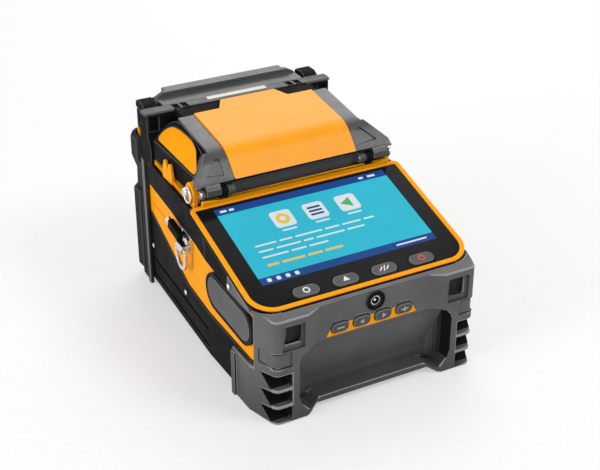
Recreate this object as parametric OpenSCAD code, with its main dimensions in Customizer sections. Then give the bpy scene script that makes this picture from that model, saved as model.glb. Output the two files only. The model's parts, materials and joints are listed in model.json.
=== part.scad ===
// Fiber fusion splicer: a portable bench tool that aligns two glass fibres and welds them in an arc.
// Millimetres, +Z up, the operator's side faces -Y, origin at the bottom centre.

/* [Body] */
// Length over the front and rear bumpers
body_d = 196; // [192:1:202]
// Half width of the side walls at mid length
side_half_w = 65.1; // [64.5:0.1:66.5]
// Draft of each side wall towards the rear, degrees
side_taper = 3.55; // [3:0.05:4]
// Distance in front of the middle where the side walls become parallel
taper_start = 24; // [20:1:28]
// Height of the side walls' top edge
wall_top_z = 92; // [90:0.5:94]
// Thickness of the moulded walls
wall = 3; // [2.4:0.1:3.4]
// Height of the rubber feet
foot_h = 4; // [3:0.5:5]
// Radius of a rubber foot
foot_r = 7; // [5:0.5:9]
// Height of the parting line between base case and orange body, at the front
part_front_z = 31; // [29:0.5:33]
// Rise of the parting line towards the rear
part_rise = 28; // [22:1:30]
// Thickness of the side bands
band_t = 2.2; // [1.6:0.1:2.6]
// Depth of the long grooves in the base case sides
groove_depth = 0.8; // [0.4:0.1:1.2]

/* [Display] */
// Width of the lit screen area
lcd_w = 110.8; // [104:0.2:114]
// Height of the lit screen area
lcd_h = 62.3; // [58:0.1:64]
// Tilt of the display at rest, degrees
disp_tilt = 16.7; // [15:0.1:18]
// Overhang of the display past the body's sides
disp_over = 1.9; // [1.6:0.05:2.2]
// Width of the orange rim around the bezel
rim_w = 2.8; // [2.4:0.1:3.2]
// Thickness of the display frame
rim_t = 3.2; // [2.6:0.1:3.6]
// Depth of the box behind the display frame
disp_back_t = 6.8; // [5:0.1:7.5]
// Radius of the display's front corners
disp_corner_r = 15; // [10:0.5:18]
// Distance from the bumper's front to the display's front edge
disp_setback = 9.5; // [9.3:0.1:11]
// Length of a display key
pill_l = 15.6; // [12:0.1:18]
// Width of a display key
pill_w = 7.4; // [6:0.1:8]
// Spacing of the display keys
pill_pitch = 24.3; // [20:0.1:26]
// Travel of a display key
pill_travel = 0.8; // [0.5:0.1:1]
// Radius of the steel hinge pins
hinge_pin_r = 1.5; // [1.2:0.1:1.6]

/* [Windproof cover] */
// Half width of the orange lid panel
lid_half_w = 39.5; // [36:0.5:41]
// Half width to the outer edge of the grey arms
arm_half_w = 49.5; // [48:0.1:50.5]
// Gap between the cover's upright sides and the strap ears
cover_gap = 0.55; // [0.4:0.05:0.9]
// Angle of the front slope, degrees
cover_slope = 48; // [45:0.5:51]
// Height from the front lip to the bend of the lid panel
cover_rise = 14; // [12:0.5:15]
// Fall of the lid's top towards the front, degrees
cover_fall = 8; // [6:0.5:9]
// Thickness of each cover moulding
cover_t = 2.2; // [1.8:0.1:2.4]
// Width of a front tab
tab_w = 8.7; // [7:0.1:9]
// Radius of the cover's hinge pins
cover_pin_r = 1; // [0.8:0.05:1.2]

/* [Rear housing and heater] */
// Height of the rear rail's top face
rail_z = 120; // [118:0.5:122]
// Overhang of the rear rail past the body's sides
rail_over = 2; // [1.6:0.1:2.6]
// Thickness of the rear rail
rail_t = 1.6; // [1.2:0.1:2]
// Distance from the rail's end to the heater lid's end
heater_inset = 15.3; // [14.8:0.1:17]
// Height of the heater lid's ridge above the rail
ridge_h = 3.5; // [2.5:0.1:4]
// Half length of the light bar
light_half_w = 20; // [15:0.5:24]

/* [Front bumper] */
// Thickness of the bumper on the sides
bumper_t = 1.9; // [1.5:0.1:2.1]
// Depth of the corner blocks in front of the centre panel
block_step = 4.2; // [3:0.1:5]
// Height of the bumper's top edge
bumper_top_z = 66; // [64:0.5:67]
// Depth of the scoop in the centre panel
scoop_depth = 10; // [7:0.5:11]
// Half width of the scoop
scoop_half_w = 48.6; // [47:0.2:49]
// Spacing of the front keys
key_pitch = 13.5; // [12.5:0.1:14]
// Length of a front key
key_l = 10.6; // [8:0.1:11]
// Width of a front key
key_w = 6; // [5:0.1:6.4]
// Travel of a front key
key_travel = 1; // [0.6:0.1:1.2]
// Radius of the power jack
jack_r = 5.2; // [4.5:0.1:5.3]

/* [Splice head] */
// Height of the deck under the cover
deck_z = 88; // [87:0.5:89]
// Height of the fibre line
fibre_z = 98; // [97.5:0.1:98.5]
// Place of the fibre line between hinge bar and rear housing, as a share
fibre_share = 0.568; // [0.55:0.005:0.59]
// Travel of a fibre carriage to either side
carriage_travel = 2; // [1:0.1:2.5]
// Radius of an electrode
electrode_r = 1; // [0.8:0.05:1.2]

/* [Straps and pads] */
// Radius of a lanyard ring, to the middle of its wire
lanyard_r = 4.4; // [4:0.1:4.6]
// Radius of the ring wire
wire_r = 0.75; // [0.6:0.05:0.8]
// Width of a strap ring
strap_ring_w = 14; // [13:0.5:16]
// Height of a strap ring
strap_ring_h = 12.5; // [11:0.5:14]
// Length of a side grip pad
pad_l = 57; // [50:1:58]
// Height of a side grip pad
pad_h = 23; // [20:0.5:24]

/* [Clearances] */
// Running clearance of a pin in its bore
run_fit = 0.06; // [0.03:0.01:0.09]
// Gap around a moving panel or key
part_gap = 0.4; // [0.3:0.05:0.5]
// Gap between seated pieces
seat_gap = 0.1; // [0.05:0.05:0.15]

/* [Hidden] */
$fn = 48;
front_y = -body_d / 2;
rear_y = body_d / 2;
skin = 0.8;
eps = 0.02;
big = 400;

// Ends of the two main mouldings
body_front = front_y + 10;
body_rear = rear_y - 6;
case_front = front_y + 18.5;
front_chamfer = [9, 12];
hw_max = side_half_w + tan(side_taper) * taper_start;
disp_w = 2 * (hw_max + disp_over);
function hw(y) = side_half_w - tan(side_taper) * max(y, -taper_start);

// Parting line, as points along the side
knee_y = 9;
part_knee_z = part_front_z + 2;
part_rear_z = part_front_z + part_rise;

// Display frame: screen top edge is the local origin, +Y towards the hinge
disp_front = lcd_h + 19.5;
disp_rear = 5.2;
disp_y = front_y + disp_setback + disp_front * cos(disp_tilt);
disp_z = wall_top_z - 2.5;
function disp_top(y) = disp_z + tan(disp_tilt) * (y - disp_y);
bezel_drop = 0.4;
pill_y = -(lcd_h + 11.7);
pill_rise = 0.9;
back_half_w = lcd_w / 2 + seat_gap;
back_front = disp_front - 4.8;
back_rear = disp_rear - 2.7;

// Hinge line shared by the display leaves and the cover's front tabs
hinge_y = disp_y + 3.6;
hinge_z = disp_z + 8.8;
leaf_r = hinge_pin_r + 1.2;
bar_y = hinge_y + leaf_r + part_gap;
bar_d = 4;
bar_top = hinge_z + 3.4;
ear_y = bar_y + 6;
ear_x0 = hw(ear_y) - skin - wall;
ear_x1 = hw(ear_y) - skin;
cover_half_w = ear_x0 - cover_gap;
bar_half_w = ear_x0 - 0.14;
ear_t = 2.1;
ear_out = bar_half_w - ear_t;
tab_out = ear_out - part_gap;
tab_in = tab_out - tab_w;
leaf_w = 4.2;
leaf_in = tab_in - part_gap - leaf_w;
leaf_foot = 1.7;

// Windproof cover lines
lip_z = hinge_z + 4.9;
lip_y = hinge_y - 0.4;
bend_z = lip_z + cover_rise;
bend_y = lip_y + cover_rise / tan(cover_slope);
cover_bottom = wall_top_z + 1;
cover_side_y = bar_y + bar_d + 0.8;
lid_rear = rear_y - 50;
lid_tongue_half_w = 18;
lid_tongue = 9;
tongue_flare = 5;
cover_rear = rear_y - 37;
chamfer_z = lip_z + 1.8;
frame_d = 1;
body_d0 = frame_d + cover_t + seat_gap;
inlay_d = 1.4;
cover_hinge_y = rear_y - 28.5;
cover_hinge_z = rail_z - 3.5;
knuckle_r = cover_pin_r + 2;
finger_w = 3.3;
finger_x = [lid_half_w - 3.75, lid_half_w + 1.9];

// Rear housing lines
rail_y0 = cover_hinge_y - 2.9;
rail_y1 = rail_y0 + 8.2;
house_y0 = rail_y0 - 3.6;
house_y1 = rear_y - 3;
rail_half_w = hw(rail_y0) + rail_over;
house_half_w = rail_half_w - 1;
corner_half_w = hw(body_rear) - skin - 1.5;
corner_y = rail_y1 + 3.8;
heater_half_w = rail_half_w - heater_inset;
head_room = house_y0 - bar_y - bar_d;
head_k = head_room / 62.45;
fibre_y = bar_y + bar_d + fibre_share * head_room;
end_pocket = [6, 8.6, 2.4];
trough_z = rail_z - 15;
trough_y1 = house_y1 - 4;
lid_pin_y = house_y1 - 2.6;
lid_pin_z = rail_z - 3.8;
lid_pin_r = 1.2;
lid_barrel_r = lid_pin_r + 1.1;
lid_t = 2.6;
rear_wall_top = lid_pin_z - lid_barrel_r - 0.9;
lid_ear = 7.4;
tray_wall = 1.5;
clamp_in = heater_half_w + 2.4;
clamp_ear = 1.4;
clamp_out = corner_half_w - clamp_ear - part_gap - 0.1;
flap_out = house_half_w - 2.4;
clamp_pin_y = lid_pin_y - 3.8;
clamp_pin_z = rail_z - 6.5;
clamp_pin_r = 1;
clamp_floor = rail_z - 9;

// Front bumper lines
panel_y = front_y + block_step;
bumper_in = body_front - 2.2;
bumper_z0 = 0.5;
block_in = scoop_half_w - 5.6;
block_facet = 8;
corner_x = 59.5;
corner_r = 4.5;
relief_z = [36, 45];
relief_depth = 0.8;
wedge_in = 53;
wedge_h = 8.6;
wedge_pitch = 10.5;
pocket_x = 51.8;
pocket_z = 53.5;
pocket_w = 13.6;
pocket_h = 15;
pocket_step = 1.8;
pocket_depth = 5;
arm_rear = front_y + 45;
wrap_rear = front_y + 41;
arm_front = front_y + 17;
arm_z = disp_top(arm_front) - rim_t / cos(disp_tilt) - part_gap - 2;
scoop_back = 3;
guard_h = 55;
guard_z = deck_z - 14;
crease_depth = 0.5;
crease_y = [34, 71];
crease_h = 1.2;
crease_z = arm_z - 3.1;
scoop_z0 = 4.2;
lip_top = foot_h + 3.4;
scoop_z1 = 43;
scoop_r = 9;
notch_half_w = scoop_half_w + scoop_back + 0.5;
notch_top = scoop_z1 + 3;
key_panel_x = -1.5;
key_panel_z0 = 44.3;
key_panel_z1 = 50.7;
key_panel_t = 1.6;
key_z = 48.8;
key_proud = 1.1;
jack_z = 59.2;
jack_bore_r = 2.8;

// Splice head lines
base_t = 3;
base_top = deck_z + base_t;
rail_rib_h = 2.2;
carriage_x0 = 24;
carriage_x1 = 46;
carriage_d = 17;
tongue_w = 4;
motor_x0 = 44.5;
motor_x1 = 56.5;
motor_r = 5.2;
motor_z = deck_z - wall - motor_r - 1;
push_rod_r = 1.5;
clamp_arm_x = 13;
clamp_arm_w = 5;
clamp_arm_y = fibre_y + 13 * head_k;
clamp_arm_z = fibre_z + 2.5;
clamp_post_r = 2.6;
optics_x = 8;
base_half_w = cover_half_w - 8.6;
post_y = 17 * head_k;
post_half_d = 3.5;
electrode_head = 2.4;
electrode_out = post_y + post_half_d + 0.5 + electrode_head;
optics_tilt = 40;

// Side fittings
ear_z = wall_top_z + 5.5;
ear_r = 5.2;
lanyard_x = ear_x1 + part_gap + wire_r;
lanyard_z = ear_z + hinge_pin_r + seat_gap / 2 - (lanyard_r - wire_r);
band_out = band_t - skin;
band_top = wall_top_z - 2.4;
pad_y = front_y + 45.5;
pad_z = arm_z - 11;
pad_tilt = 4;
pad_t = 2.4;
bracket_y = 8;
bracket_z = arm_z + 2.5;
bracket_w = 17;
bracket_h = 9.6;
bracket_t = 1.6;
strap_bar_r = 1.2;
strap_bar_x = band_out + strap_bar_r + 1.1;
strap_bar_z = bracket_z - bracket_h / 2 - 0.4;

// Inside pieces
floor_t = 3;
door_half_w = 41;
door_y = [case_front + 5, case_front + 64];
board_z = 22;
board_y = [door_y[1] + 1.5, body_rear - 12];
board_half_w = 50;
board_t = 1.6;
standoff_r = 3.2;
vent_half_w = 34;
vent_z = [16, 46];

orange = [0.98, 0.63, 0.08];
black = [0.12, 0.12, 0.12];
charcoal = [0.28, 0.28, 0.28];
grey = [0.56, 0.56, 0.56];
steel = [0.8, 0.8, 0.82];

// Helpers

module both_sides() {
    children();
    mirror([1, 0, 0]) children();
}

// Children drawn for the right side, mirrored for the left
module one_side(s) {
    if (s > 0) children();
    else mirror([1, 0, 0]) children();
}

// Local frame on the drafted right side: X outwards, Y rearwards along the wall
module on_side() {
    translate([side_half_w, 0, 0]) rotate([0, 0, side_taper]) children();
}

// A (y, z) outline swept along X
module along_x(x0, x1) {
    translate([x0, 0, 0]) rotate([90, 0, 90]) linear_extrude(x1 - x0) children();
}

// An (x, z) outline swept along Y
module along_y(y0, y1) {
    translate([0, y1, 0]) rotate([90, 0, 0]) linear_extrude(y1 - y0) children();
}

module rod_x(x0, x1, r, y, z) {
    translate([x0, y, z]) rotate([0, 90, 0]) cylinder(h = x1 - x0, r = r);
}

module box(p, q) {
    translate(p) cube(q - p);
}

module rounded(w, h, r) {
    square([w, h - 2 * r], center = true);
    square([w - 2 * r, h], center = true);
    for (x = [-1, 1], y = [-1, 1])
        translate([x * (w / 2 - r), y * (h / 2 - r)]) circle(r);
}

module pill(l, w) {
    square([l - w, w], center = true);
    for (x = [-1, 1]) translate([x * (l - w) / 2, 0]) circle(w / 2);
}

// Drafted plan of the body between two stations, grown by off
module plan(y0, y1, off) {
    right = [[hw_max + off - front_chamfer[0], y0], [hw_max + off, y0 + front_chamfer[1]],
        [hw_max + off, -taper_start], [hw(y1) + off, y1]];
    left = [for (i = [3:-1:0]) [-right[i][0], right[i][1]]];
    polygon(concat(right, left));
}

module plan_block(y0, y1, z0, z1, off) {
    translate([0, 0, z0]) linear_extrude(z1 - z0) plan(y0, y1, off);
}

// Base case

module lower_profile() {
    polygon([[body_front - 1, foot_h], [body_rear + 1, foot_h], [body_rear + 1, part_rear_z - seat_gap],
        [knee_y, part_knee_z - seat_gap], [body_front - 1, part_front_z - seat_gap]]);
}

module lower_case() {
    color(black) difference() {
        union() {
            intersection() {
                union() {
                    difference() {
                        plan_block(body_front, body_rear, foot_h, part_rear_z, 0);
                        plan_block(body_front + wall, body_rear - wall, foot_h + floor_t, big, -wall);
                    }
                    box([-notch_half_w - wall, body_front, foot_h],
                        [notch_half_w + wall, case_front + wall, big]);
                }
                along_x(-big, big) lower_profile();
            }
            for (x = [-44, 44], y = board_y)
                translate([x, y + (y < 0 ? 6 : -6), foot_h + 1])
                    cylinder(h = board_z - foot_h - 1, r = standoff_r);
        }
        box([-notch_half_w, -big, 0], [notch_half_w, case_front, big]);
        box([-door_half_w, door_y[0], foot_h - 1], [door_half_w, door_y[1], foot_h + floor_t + 1]);
        box([-vent_half_w, body_rear - wall - 1, vent_z[0]], [vent_half_w, body_rear + 1, vent_z[1]]);
        both_sides() on_side() for (z = [9.5, 20.5])
            box([-groove_depth, -taper_start + 2, z - 1.1], [2, body_rear - 18, z + 1.1]);
    }
}

// Orange body: side walls, deck, display tray, strap ears and fibre guides

module orange_profile() {
    tray_drop = rim_t / cos(disp_tilt) + part_gap;
    polygon([[body_front - 1, part_front_z], [knee_y, part_knee_z],
        [body_rear + 1, part_rear_z], [body_rear + 1, deck_z], [house_y0 - 1, deck_z],
        [house_y0 - 1, wall_top_z], [bar_y, wall_top_z], [bar_y, disp_top(bar_y) - tray_drop],
        [body_front - 1, disp_top(body_front - 1) - tray_drop]]);
}

module fork_profile() {
    z0 = band_top + seat_gap;
    polygon([[fibre_y - 7, z0], [fibre_y + 7, z0], [fibre_y + 7, wall_top_z + 3],
        [fibre_y + 4.6, fibre_z + 3.5], [fibre_y + 2.6, fibre_z + 3.5], [fibre_y, fibre_z - 1],
        [fibre_y - 2.6, fibre_z + 3.5], [fibre_y - 4.6, fibre_z + 3.5], [fibre_y - 7, wall_top_z + 3]]);
}

module display_tray() {
    tray_z = -(rim_t + disp_back_t + 0.8);
    intersection() {
        translate([0, disp_y, disp_z]) rotate([disp_tilt, 0, 0])
            box([-hw_max, -disp_front, tray_z - wall], [hw_max, disp_rear + 4, tray_z]);
        plan_block(body_front + 1, bar_y + wall, part_front_z, big, -skin - 1);
        box([-big, -big, 0], [big, bar_y + wall / 2, big]);
    }
}

module body_shell() {
    slot = carriage_travel + tongue_w / 2 + 1;
    color(orange) difference() {
        union() {
            intersection() {
                union() {
                    difference() {
                        plan_block(body_front, body_rear, part_front_z, wall_top_z, -skin);
                        plan_block(body_front + wall, body_rear - wall, 0, big, -skin - wall);
                    }
                    box([-notch_half_w - wall, body_front, part_front_z],
                        [notch_half_w + wall, case_front + wall, notch_top + wall]);
                }
                along_x(-big, big) orange_profile();
            }
            display_tray();
            intersection() {
                union() {
                    box([-big, bar_y, deck_z - wall], [big, body_rear, deck_z]);
                    box([-big, bar_y, disp_top(bar_y) - rim_t - disp_back_t - wall - 2],
                        [big, bar_y + wall, deck_z]);
                }
                plan_block(body_front, body_rear, 0, big, -skin);
            }
            both_sides() {
                along_x(ear_x0, ear_x1) {
                    translate([ear_y, ear_z]) circle(ear_r);
                    translate([ear_y - ear_r, band_top + seat_gap])
                        square([2 * ear_r, ear_z - band_top - seat_gap]);
                }
                along_x(cover_half_w + 0.7, hw(fibre_y) + 0.4) fork_profile();
                intersection() {
                    plan_block(body_front, body_rear, deck_z - 1, big, -skin);
                    along_x(corner_half_w + seat_gap, big) polygon([[corner_y + seat_gap, deck_z - 1],
                        [body_rear, deck_z - 1], [body_rear, deck_z + 15],
                        [corner_y + seat_gap, deck_z + 3.5]]);
                }
            }
        }
        box([-notch_half_w, -big, 0], [notch_half_w, case_front, notch_top]);
        both_sides() {
            rod_x(ear_x0 - 1, ear_x1 + 1, hinge_pin_r + seat_gap / 2, ear_y, ear_z);
            box([(carriage_x0 + carriage_x1) / 2 - slot, fibre_y - 3, deck_z - wall - 1],
                [(carriage_x0 + carriage_x1) / 2 + slot, fibre_y + 3, deck_z + 1]);
        }
        box([-optics_x, fibre_y - 16, deck_z - wall - 1], [optics_x, fibre_y + 16, deck_z + 1]);
        both_sides() on_side() translate([-skin - crease_depth, 0, 0]) along_x(0, 5)
            translate([crease_y[0], crease_z]) square([crease_y[1] - crease_y[0], crease_h]);
    }
}

// Side bands on the drafted walls, from the bumper arms to the rear bumpers
module side_band(s) {
    reach = body_rear - 20.5;
    drop = rim_t / cos(disp_tilt) + part_gap;
    step = house_y0 - 2;
    low = deck_z - 0.3;
    points = [[reach, arm_z + 11.5], [30, arm_z + 10], [-10, arm_z + 7.5], [-taper_start, arm_z + 5],
        [-taper_start, disp_top(-taper_start) - drop],
        [bar_y - 0.6, disp_top(bar_y - 0.6) - drop], [bar_y + 0.4, band_top], [step, band_top],
        [step, low], [reach, low]];
    front = [[-taper_start, arm_z + 5], [arm_rear + 0.3, arm_z + 1.5],
        [arm_rear + 0.3, disp_top(arm_rear) - drop],
        [-taper_start, disp_top(-taper_start) - drop]];
    color(black) one_side(s) union() {
        on_side() translate([-skin + seat_gap / 2, 0, 0]) along_x(0, band_t) polygon(points);
        on_side() translate([band_out, 0, 0]) along_x(-0.2, 0.7)
            polygon([[step, band_top - 3], [bar_y + 14, band_top - 3], [bar_y + 14, band_top],
                [step, band_top]]);
        along_x(hw_max - skin + seat_gap / 2, hw_max - skin + seat_gap / 2 + band_t) polygon(front);
    }
}

// Front bumper: wrapped corners, centre panel and scoop

module bumper_plan(inset) {
    out = hw_max + bumper_t - inset;
    r = corner_r - inset;
    corner = [for (a = [-90:15:-15]) [corner_x + r * cos(a), front_y + corner_r + r * sin(a)]];
    right = concat([[block_in - block_facet, panel_y], [block_in, front_y + inset]], corner,
        [[out, front_y + 20], [out, arm_rear]]);
    left = [for (i = [len(right) - 1:-1:0]) [-right[i][0], right[i][1]]];
    polygon(concat(right, left));
}

// Side view of what the bumper covers: full corners, low wraps and high arms
module bumper_side() {
    drop = rim_t / cos(disp_tilt) + part_gap + 0.2;
    polygon([[front_y - 1, bumper_z0], [wrap_rear, bumper_z0], [wrap_rear, part_front_z - 1],
        [arm_front, part_front_z - 1], [arm_front, arm_z], [arm_rear, arm_z + 1.1],
        [arm_rear, disp_top(arm_rear) - drop],
        [disp_y + (bumper_top_z + drop - disp_z) / tan(disp_tilt), bumper_top_z],
        [front_y - 1, bumper_top_z - 1]]);
}

// Front view of the hollow: rounded upper corners, and a lip that dips towards the corner blocks
module scoop_front() {
    r = scoop_r;
    x = scoop_half_w;
    top = [for (a = [0:15:90]) [x - r + r * cos(a), scoop_z1 - r + r * sin(a)]];
    right = concat([[x - 14.5, lip_top], [x - 9, scoop_z0], [x - 7, scoop_z0], [x - 2, scoop_z0 + 5],
        [x, scoop_z0 + 11]], top);
    left = [for (i = [len(right) - 1:-1:0]) [-right[i][0], right[i][1]]];
    polygon(concat(right, left));
}

// Hollow in the centre panel, with a leaning back wall and rounded ends
module scoop_cut() {
    y1 = panel_y + scoop_depth;
    r = y1 - front_y - 1;
    intersection() {
        along_x(-scoop_half_w, scoop_half_w)
            polygon([[front_y - 1, scoop_z0 - 1], [y1 - 4, scoop_z0 - 1], [y1 - 1, scoop_z0 + 2],
                [y1, scoop_z0 + 6],
                [y1, scoop_z0 + 11], [panel_y + 3, scoop_z1 - 3], [panel_y + 1.6, scoop_z1 + 1],
                [front_y - 1, scoop_z1 + 1]]);
        translate([0, 0, scoop_z0 - 2]) linear_extrude(scoop_z1 + 4) {
            end = [for (a = [0:10:90]) [scoop_half_w - r + r * cos(a), y1 - r + r * sin(a)]];
            mirrored = [for (i = [len(end) - 1:-1:0]) [-end[i][0], end[i][1]]];
            polygon(concat([[scoop_half_w, front_y - 2]], end, mirrored, [[-scoop_half_w, front_y - 2]]));
        }
        along_y(front_y - 2, y1 + 1) scoop_front();
    }
}

module key_panel_2d(grow) {
    polygon([[-28.5 - grow, key_panel_z0 - grow], [28.5 + grow, key_panel_z0 - grow],
        [25.5 + grow, key_panel_z1 + grow], [-25.5 - grow, key_panel_z1 + grow]]);
}

function key_x(i) = key_panel_x + (i - 2.5) * key_pitch;

module wedge_cuts() {
    for (i = [0:2]) {
        z0 = bumper_z0 + 1 + i * wedge_pitch;
        along_x(wedge_in, big) polygon([[front_y - 1, z0], [front_y + 4, z0],
            [front_y + 12.5, z0 + wedge_h - 1.2], [front_y + 4, z0 + wedge_h],
            [front_y - 1, z0 + wedge_h]]);
    }
}

module front_bumper() {
    color(charcoal) difference() {
        union() {
            intersection() {
                difference() {
                    translate([0, 0, bumper_z0]) linear_extrude(big) bumper_plan(0);
                    plan_block(body_front - seat_gap, body_rear, 0, big, seat_gap);
                    box([-hw_max + 12, bumper_in, 0], [hw_max - 12, body_front + 9, big]);
                }
                along_x(-big, big) bumper_side();
            }
            intersection() {
                box([-scoop_half_w - scoop_back, panel_y, bumper_z0],
                    [scoop_half_w + scoop_back, case_front - seat_gap, scoop_z1 + 2]);
                translate([0, 0, bumper_z0]) linear_extrude(big) plan(panel_y, body_rear, -skin);
            }
            both_sides() box([hw_max + bumper_t - 1, wrap_rear - 5, bumper_z0],
                [hw_max + bumper_t + 1.5, wrap_rear - 1, part_front_z - 2]);
        }
        scoop_cut();
        at_display() translate([0, 0, -rim_t - part_gap - 0.2]) linear_extrude(big) display_outline(-1.1);
        along_y(-big, big) polygon([[-scoop_half_w + 6.5, -1], [-scoop_half_w + 6.5, bumper_z0],
            [-scoop_half_w + 12, foot_h],
            [scoop_half_w - 12, foot_h], [scoop_half_w - 6.5, bumper_z0], [scoop_half_w - 6.5, -1]]);
        both_sides() {
            wedge_cuts();
            difference() {
                box([wedge_in, -big, relief_z[0]], [big, front_y + 13, relief_z[1]]);
                linear_extrude(big) bumper_plan(relief_depth);
            }
            box([pocket_x - pocket_w / 2, front_y - 1, pocket_z - pocket_h / 2],
                [pocket_x + pocket_w / 2, front_y + pocket_step, pocket_z + pocket_h / 2]);
            box([pocket_x - pocket_w / 2 + 1.6, front_y - 1, pocket_z - pocket_h / 2 + 3],
                [pocket_x + pocket_w / 2 - 2.4, front_y + pocket_depth, pocket_z + pocket_h / 2 - 1.5]);
        }
        translate([key_panel_x, 0, 0]) along_y(front_y, panel_y + key_panel_t) key_panel_2d(seat_gap);
        for (i = [1:4]) translate([key_x(i), 0, key_z])
            along_y(front_y, body_front) pill(key_l + 2 * part_gap, key_w + 2 * part_gap);
        translate([0, 0, jack_z]) along_y(front_y, body_front) circle(jack_r + seat_gap / 2);
    }
}

module front_key_panel() {
    color(orange) translate([key_panel_x, 0, 0]) difference() {
        along_y(panel_y, panel_y + key_panel_t) key_panel_2d(0);
        for (i = [1:4]) translate([key_x(i) - key_panel_x, 0, key_z])
            along_y(front_y, body_front) pill(key_l + 2 * part_gap, key_w + 2 * part_gap);
    }
}

module front_key(i) {
    color(grey) translate([key_x(i), 0, key_z]) {
        along_y(panel_y - key_proud, body_front - key_travel - 0.2) pill(key_l, key_w);
        along_y(bumper_in + seat_gap / 2, body_front - key_travel - 0.2) pill(key_l + 2, key_w + 1.6);
    }
}

module power_jack() {
    color(black) translate([0, 0, jack_z]) difference() {
        union() {
            along_y(panel_y - 0.8, panel_y) circle(jack_r + 0.8);
            along_y(panel_y - 0.4, body_front - 0.2) circle(jack_r);
        }
        along_y(front_y, body_front - 1.5) circle(jack_bore_r);
    }
}

// Rear corner bumpers and vent

// Plan of a guard that stands out from the rear corner
module guard_plan(y0) {
    polygon([[hw(y0 + 9) + 0.8, y0 + 9], [hw(y0 + 9) + 3.4, y0 + 10.5], [hw(rear_y) + 4.6, y0 + 14],
        [hw(rear_y) + 4.6, rear_y - 6], [hw(rear_y) - 1, rear_y], [hw(rear_y) - 7, rear_y - 0.5],
        [hw(body_rear) + 0.5, body_rear + 0.4]]);
}

module rear_bumper(s) {
    y0 = rear_y - 24.5;
    x = hw(rear_y);
    color(charcoal) one_side(s) difference() {
        union() {
            translate([0, 0, bumper_z0]) linear_extrude(deck_z - seat_gap - bumper_z0)
                polygon([[hw(y0) + 2.6, y0], [hw(y0 + 4) + 2.6, y0 + 4], [hw(y0 + 5) + 1.4, y0 + 5],
                    [x + 1.8, rear_y - 7],
                    [x - 6, rear_y], [40, rear_y], [38, body_rear + seat_gap],
                    [hw(body_rear) + seat_gap, body_rear + seat_gap], [hw(y0) + seat_gap, y0]]);
            translate([0, 0, bumper_z0 + 7]) linear_extrude(guard_h) guard_plan(y0);
            intersection() {
                translate([0, 0, guard_z]) linear_extrude(big) guard_plan(y0);
                along_y(-big, big) polygon([[0, guard_z], [x, guard_z], [x + 5, guard_z + 12],
                    [x + 5, deck_z + 9],
                    [x + 2, deck_z + 11], [0, deck_z + 8]]);
            }
        }
        along_x(-big, big) polygon([[rear_y - 8, -1], [rear_y + 1, -1], [rear_y + 1, 7], [rear_y - 3, 3]]);
        for (z = [30, 50, 70]) box([x - 9, rear_y - 1.2, z - 1], [big, rear_y + 1, z + 1]);
        box([0, y0 - 1, deck_z - 1], [corner_half_w + seat_gap, house_y1 + seat_gap, big]);
    }
}

module rear_vent() {
    color(black) {
        difference() {
            box([-vent_half_w - 3, body_rear + seat_gap / 2, vent_z[0] - 3],
                [vent_half_w + 3, body_rear + 2, vent_z[1] + 3]);
            box([-vent_half_w, body_rear - 1, vent_z[0]], [vent_half_w, body_rear + 3, vent_z[1]]);
        }
        for (z = [vent_z[0] + 3:5:vent_z[1]])
            translate([-vent_half_w - 0.5, body_rear + 0.4, z]) rotate([-30, 0, 0])
                cube([2 * vent_half_w + 1, 0.8, 1.6]);
    }
}

// Hinge bar between display and cover, with the steel pins

module hinge_bar() {
    color(black) difference() {
        union() {
            box([-bar_half_w, bar_y, deck_z], [bar_half_w, bar_y + bar_d, bar_top]);
            both_sides() for (x = [leaf_in - part_gap - 4, ear_out]) {
                w = x == ear_out ? ear_t : 4;
                rod_x(x, x + w, leaf_r, hinge_y, hinge_z);
                box([x, hinge_y, hinge_z - leaf_r], [x + w, bar_y + 1, hinge_z + leaf_r]);
            }
        }
        both_sides() rod_x(leaf_in - part_gap - 4.5, bar_half_w + 1, hinge_pin_r + seat_gap / 2,
            hinge_y, hinge_z);
    }
}

module hinge_pins() {
    color(steel) both_sides() {
        rod_x(leaf_in - part_gap - 4, bar_half_w + 0.5, hinge_pin_r, hinge_y, hinge_z);
        rod_x(bar_half_w + 0.1, bar_half_w + 1, hinge_pin_r + 0.9, hinge_y, hinge_z);
    }
}

// Display unit

module at_display() {
    translate([0, disp_y, disp_z]) rotate([disp_tilt, 0, 0]) children();
}

// Outline with large front corners and small rear corners, shrunk by inset
module display_outline(inset) {
    w = disp_w / 2 - inset;
    y0 = -disp_front + inset;
    y1 = disp_rear - inset;
    rf = disp_corner_r - inset;
    rr = 4 - min(inset, 3);
    translate([-w, y0 + rf]) square([2 * w, y1 - rr - y0 - rf]);
    translate([-w + rf, y0]) square([2 * (w - rf), rf + 1]);
    translate([-w + rr, y1 - rr - 1]) square([2 * (w - rr), rr + 1]);
    for (s = [-1, 1]) {
        translate([s * (w - rf), y0 + rf]) circle(rf);
        translate([s * (w - rr), y1 - rr]) circle(rr);
    }
}

module leaf_slots() {
    both_sides() box([leaf_in - seat_gap, disp_rear - leaf_foot - seat_gap, -rim_t - 1],
        [leaf_in + leaf_w + seat_gap, disp_rear + 4, 20]);
}

module display_frame() {
    upstand = 3.8;
    color(orange) at_display() difference() {
        union() {
            translate([0, 0, -rim_t]) linear_extrude(rim_t) difference() {
                display_outline(0);
                display_outline(rim_w);
            }
            translate([-bar_half_w, disp_rear - 2, -1]) cube([2 * bar_half_w, 2, upstand + 1]);
        }
        leaf_slots();
    }
}

module display_back() {
    color(black) at_display() along_x(-back_half_w, back_half_w)
        polygon([[-back_front, -rim_t - seat_gap / 2], [-back_front, -rim_t - 3],
            [-back_front + 5, -rim_t - disp_back_t],
            [back_rear, -rim_t - disp_back_t], [back_rear, -rim_t - seat_gap / 2]]);
}

function pill_x(i) = (i - 2.5) * pill_pitch + 1.1;

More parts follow.
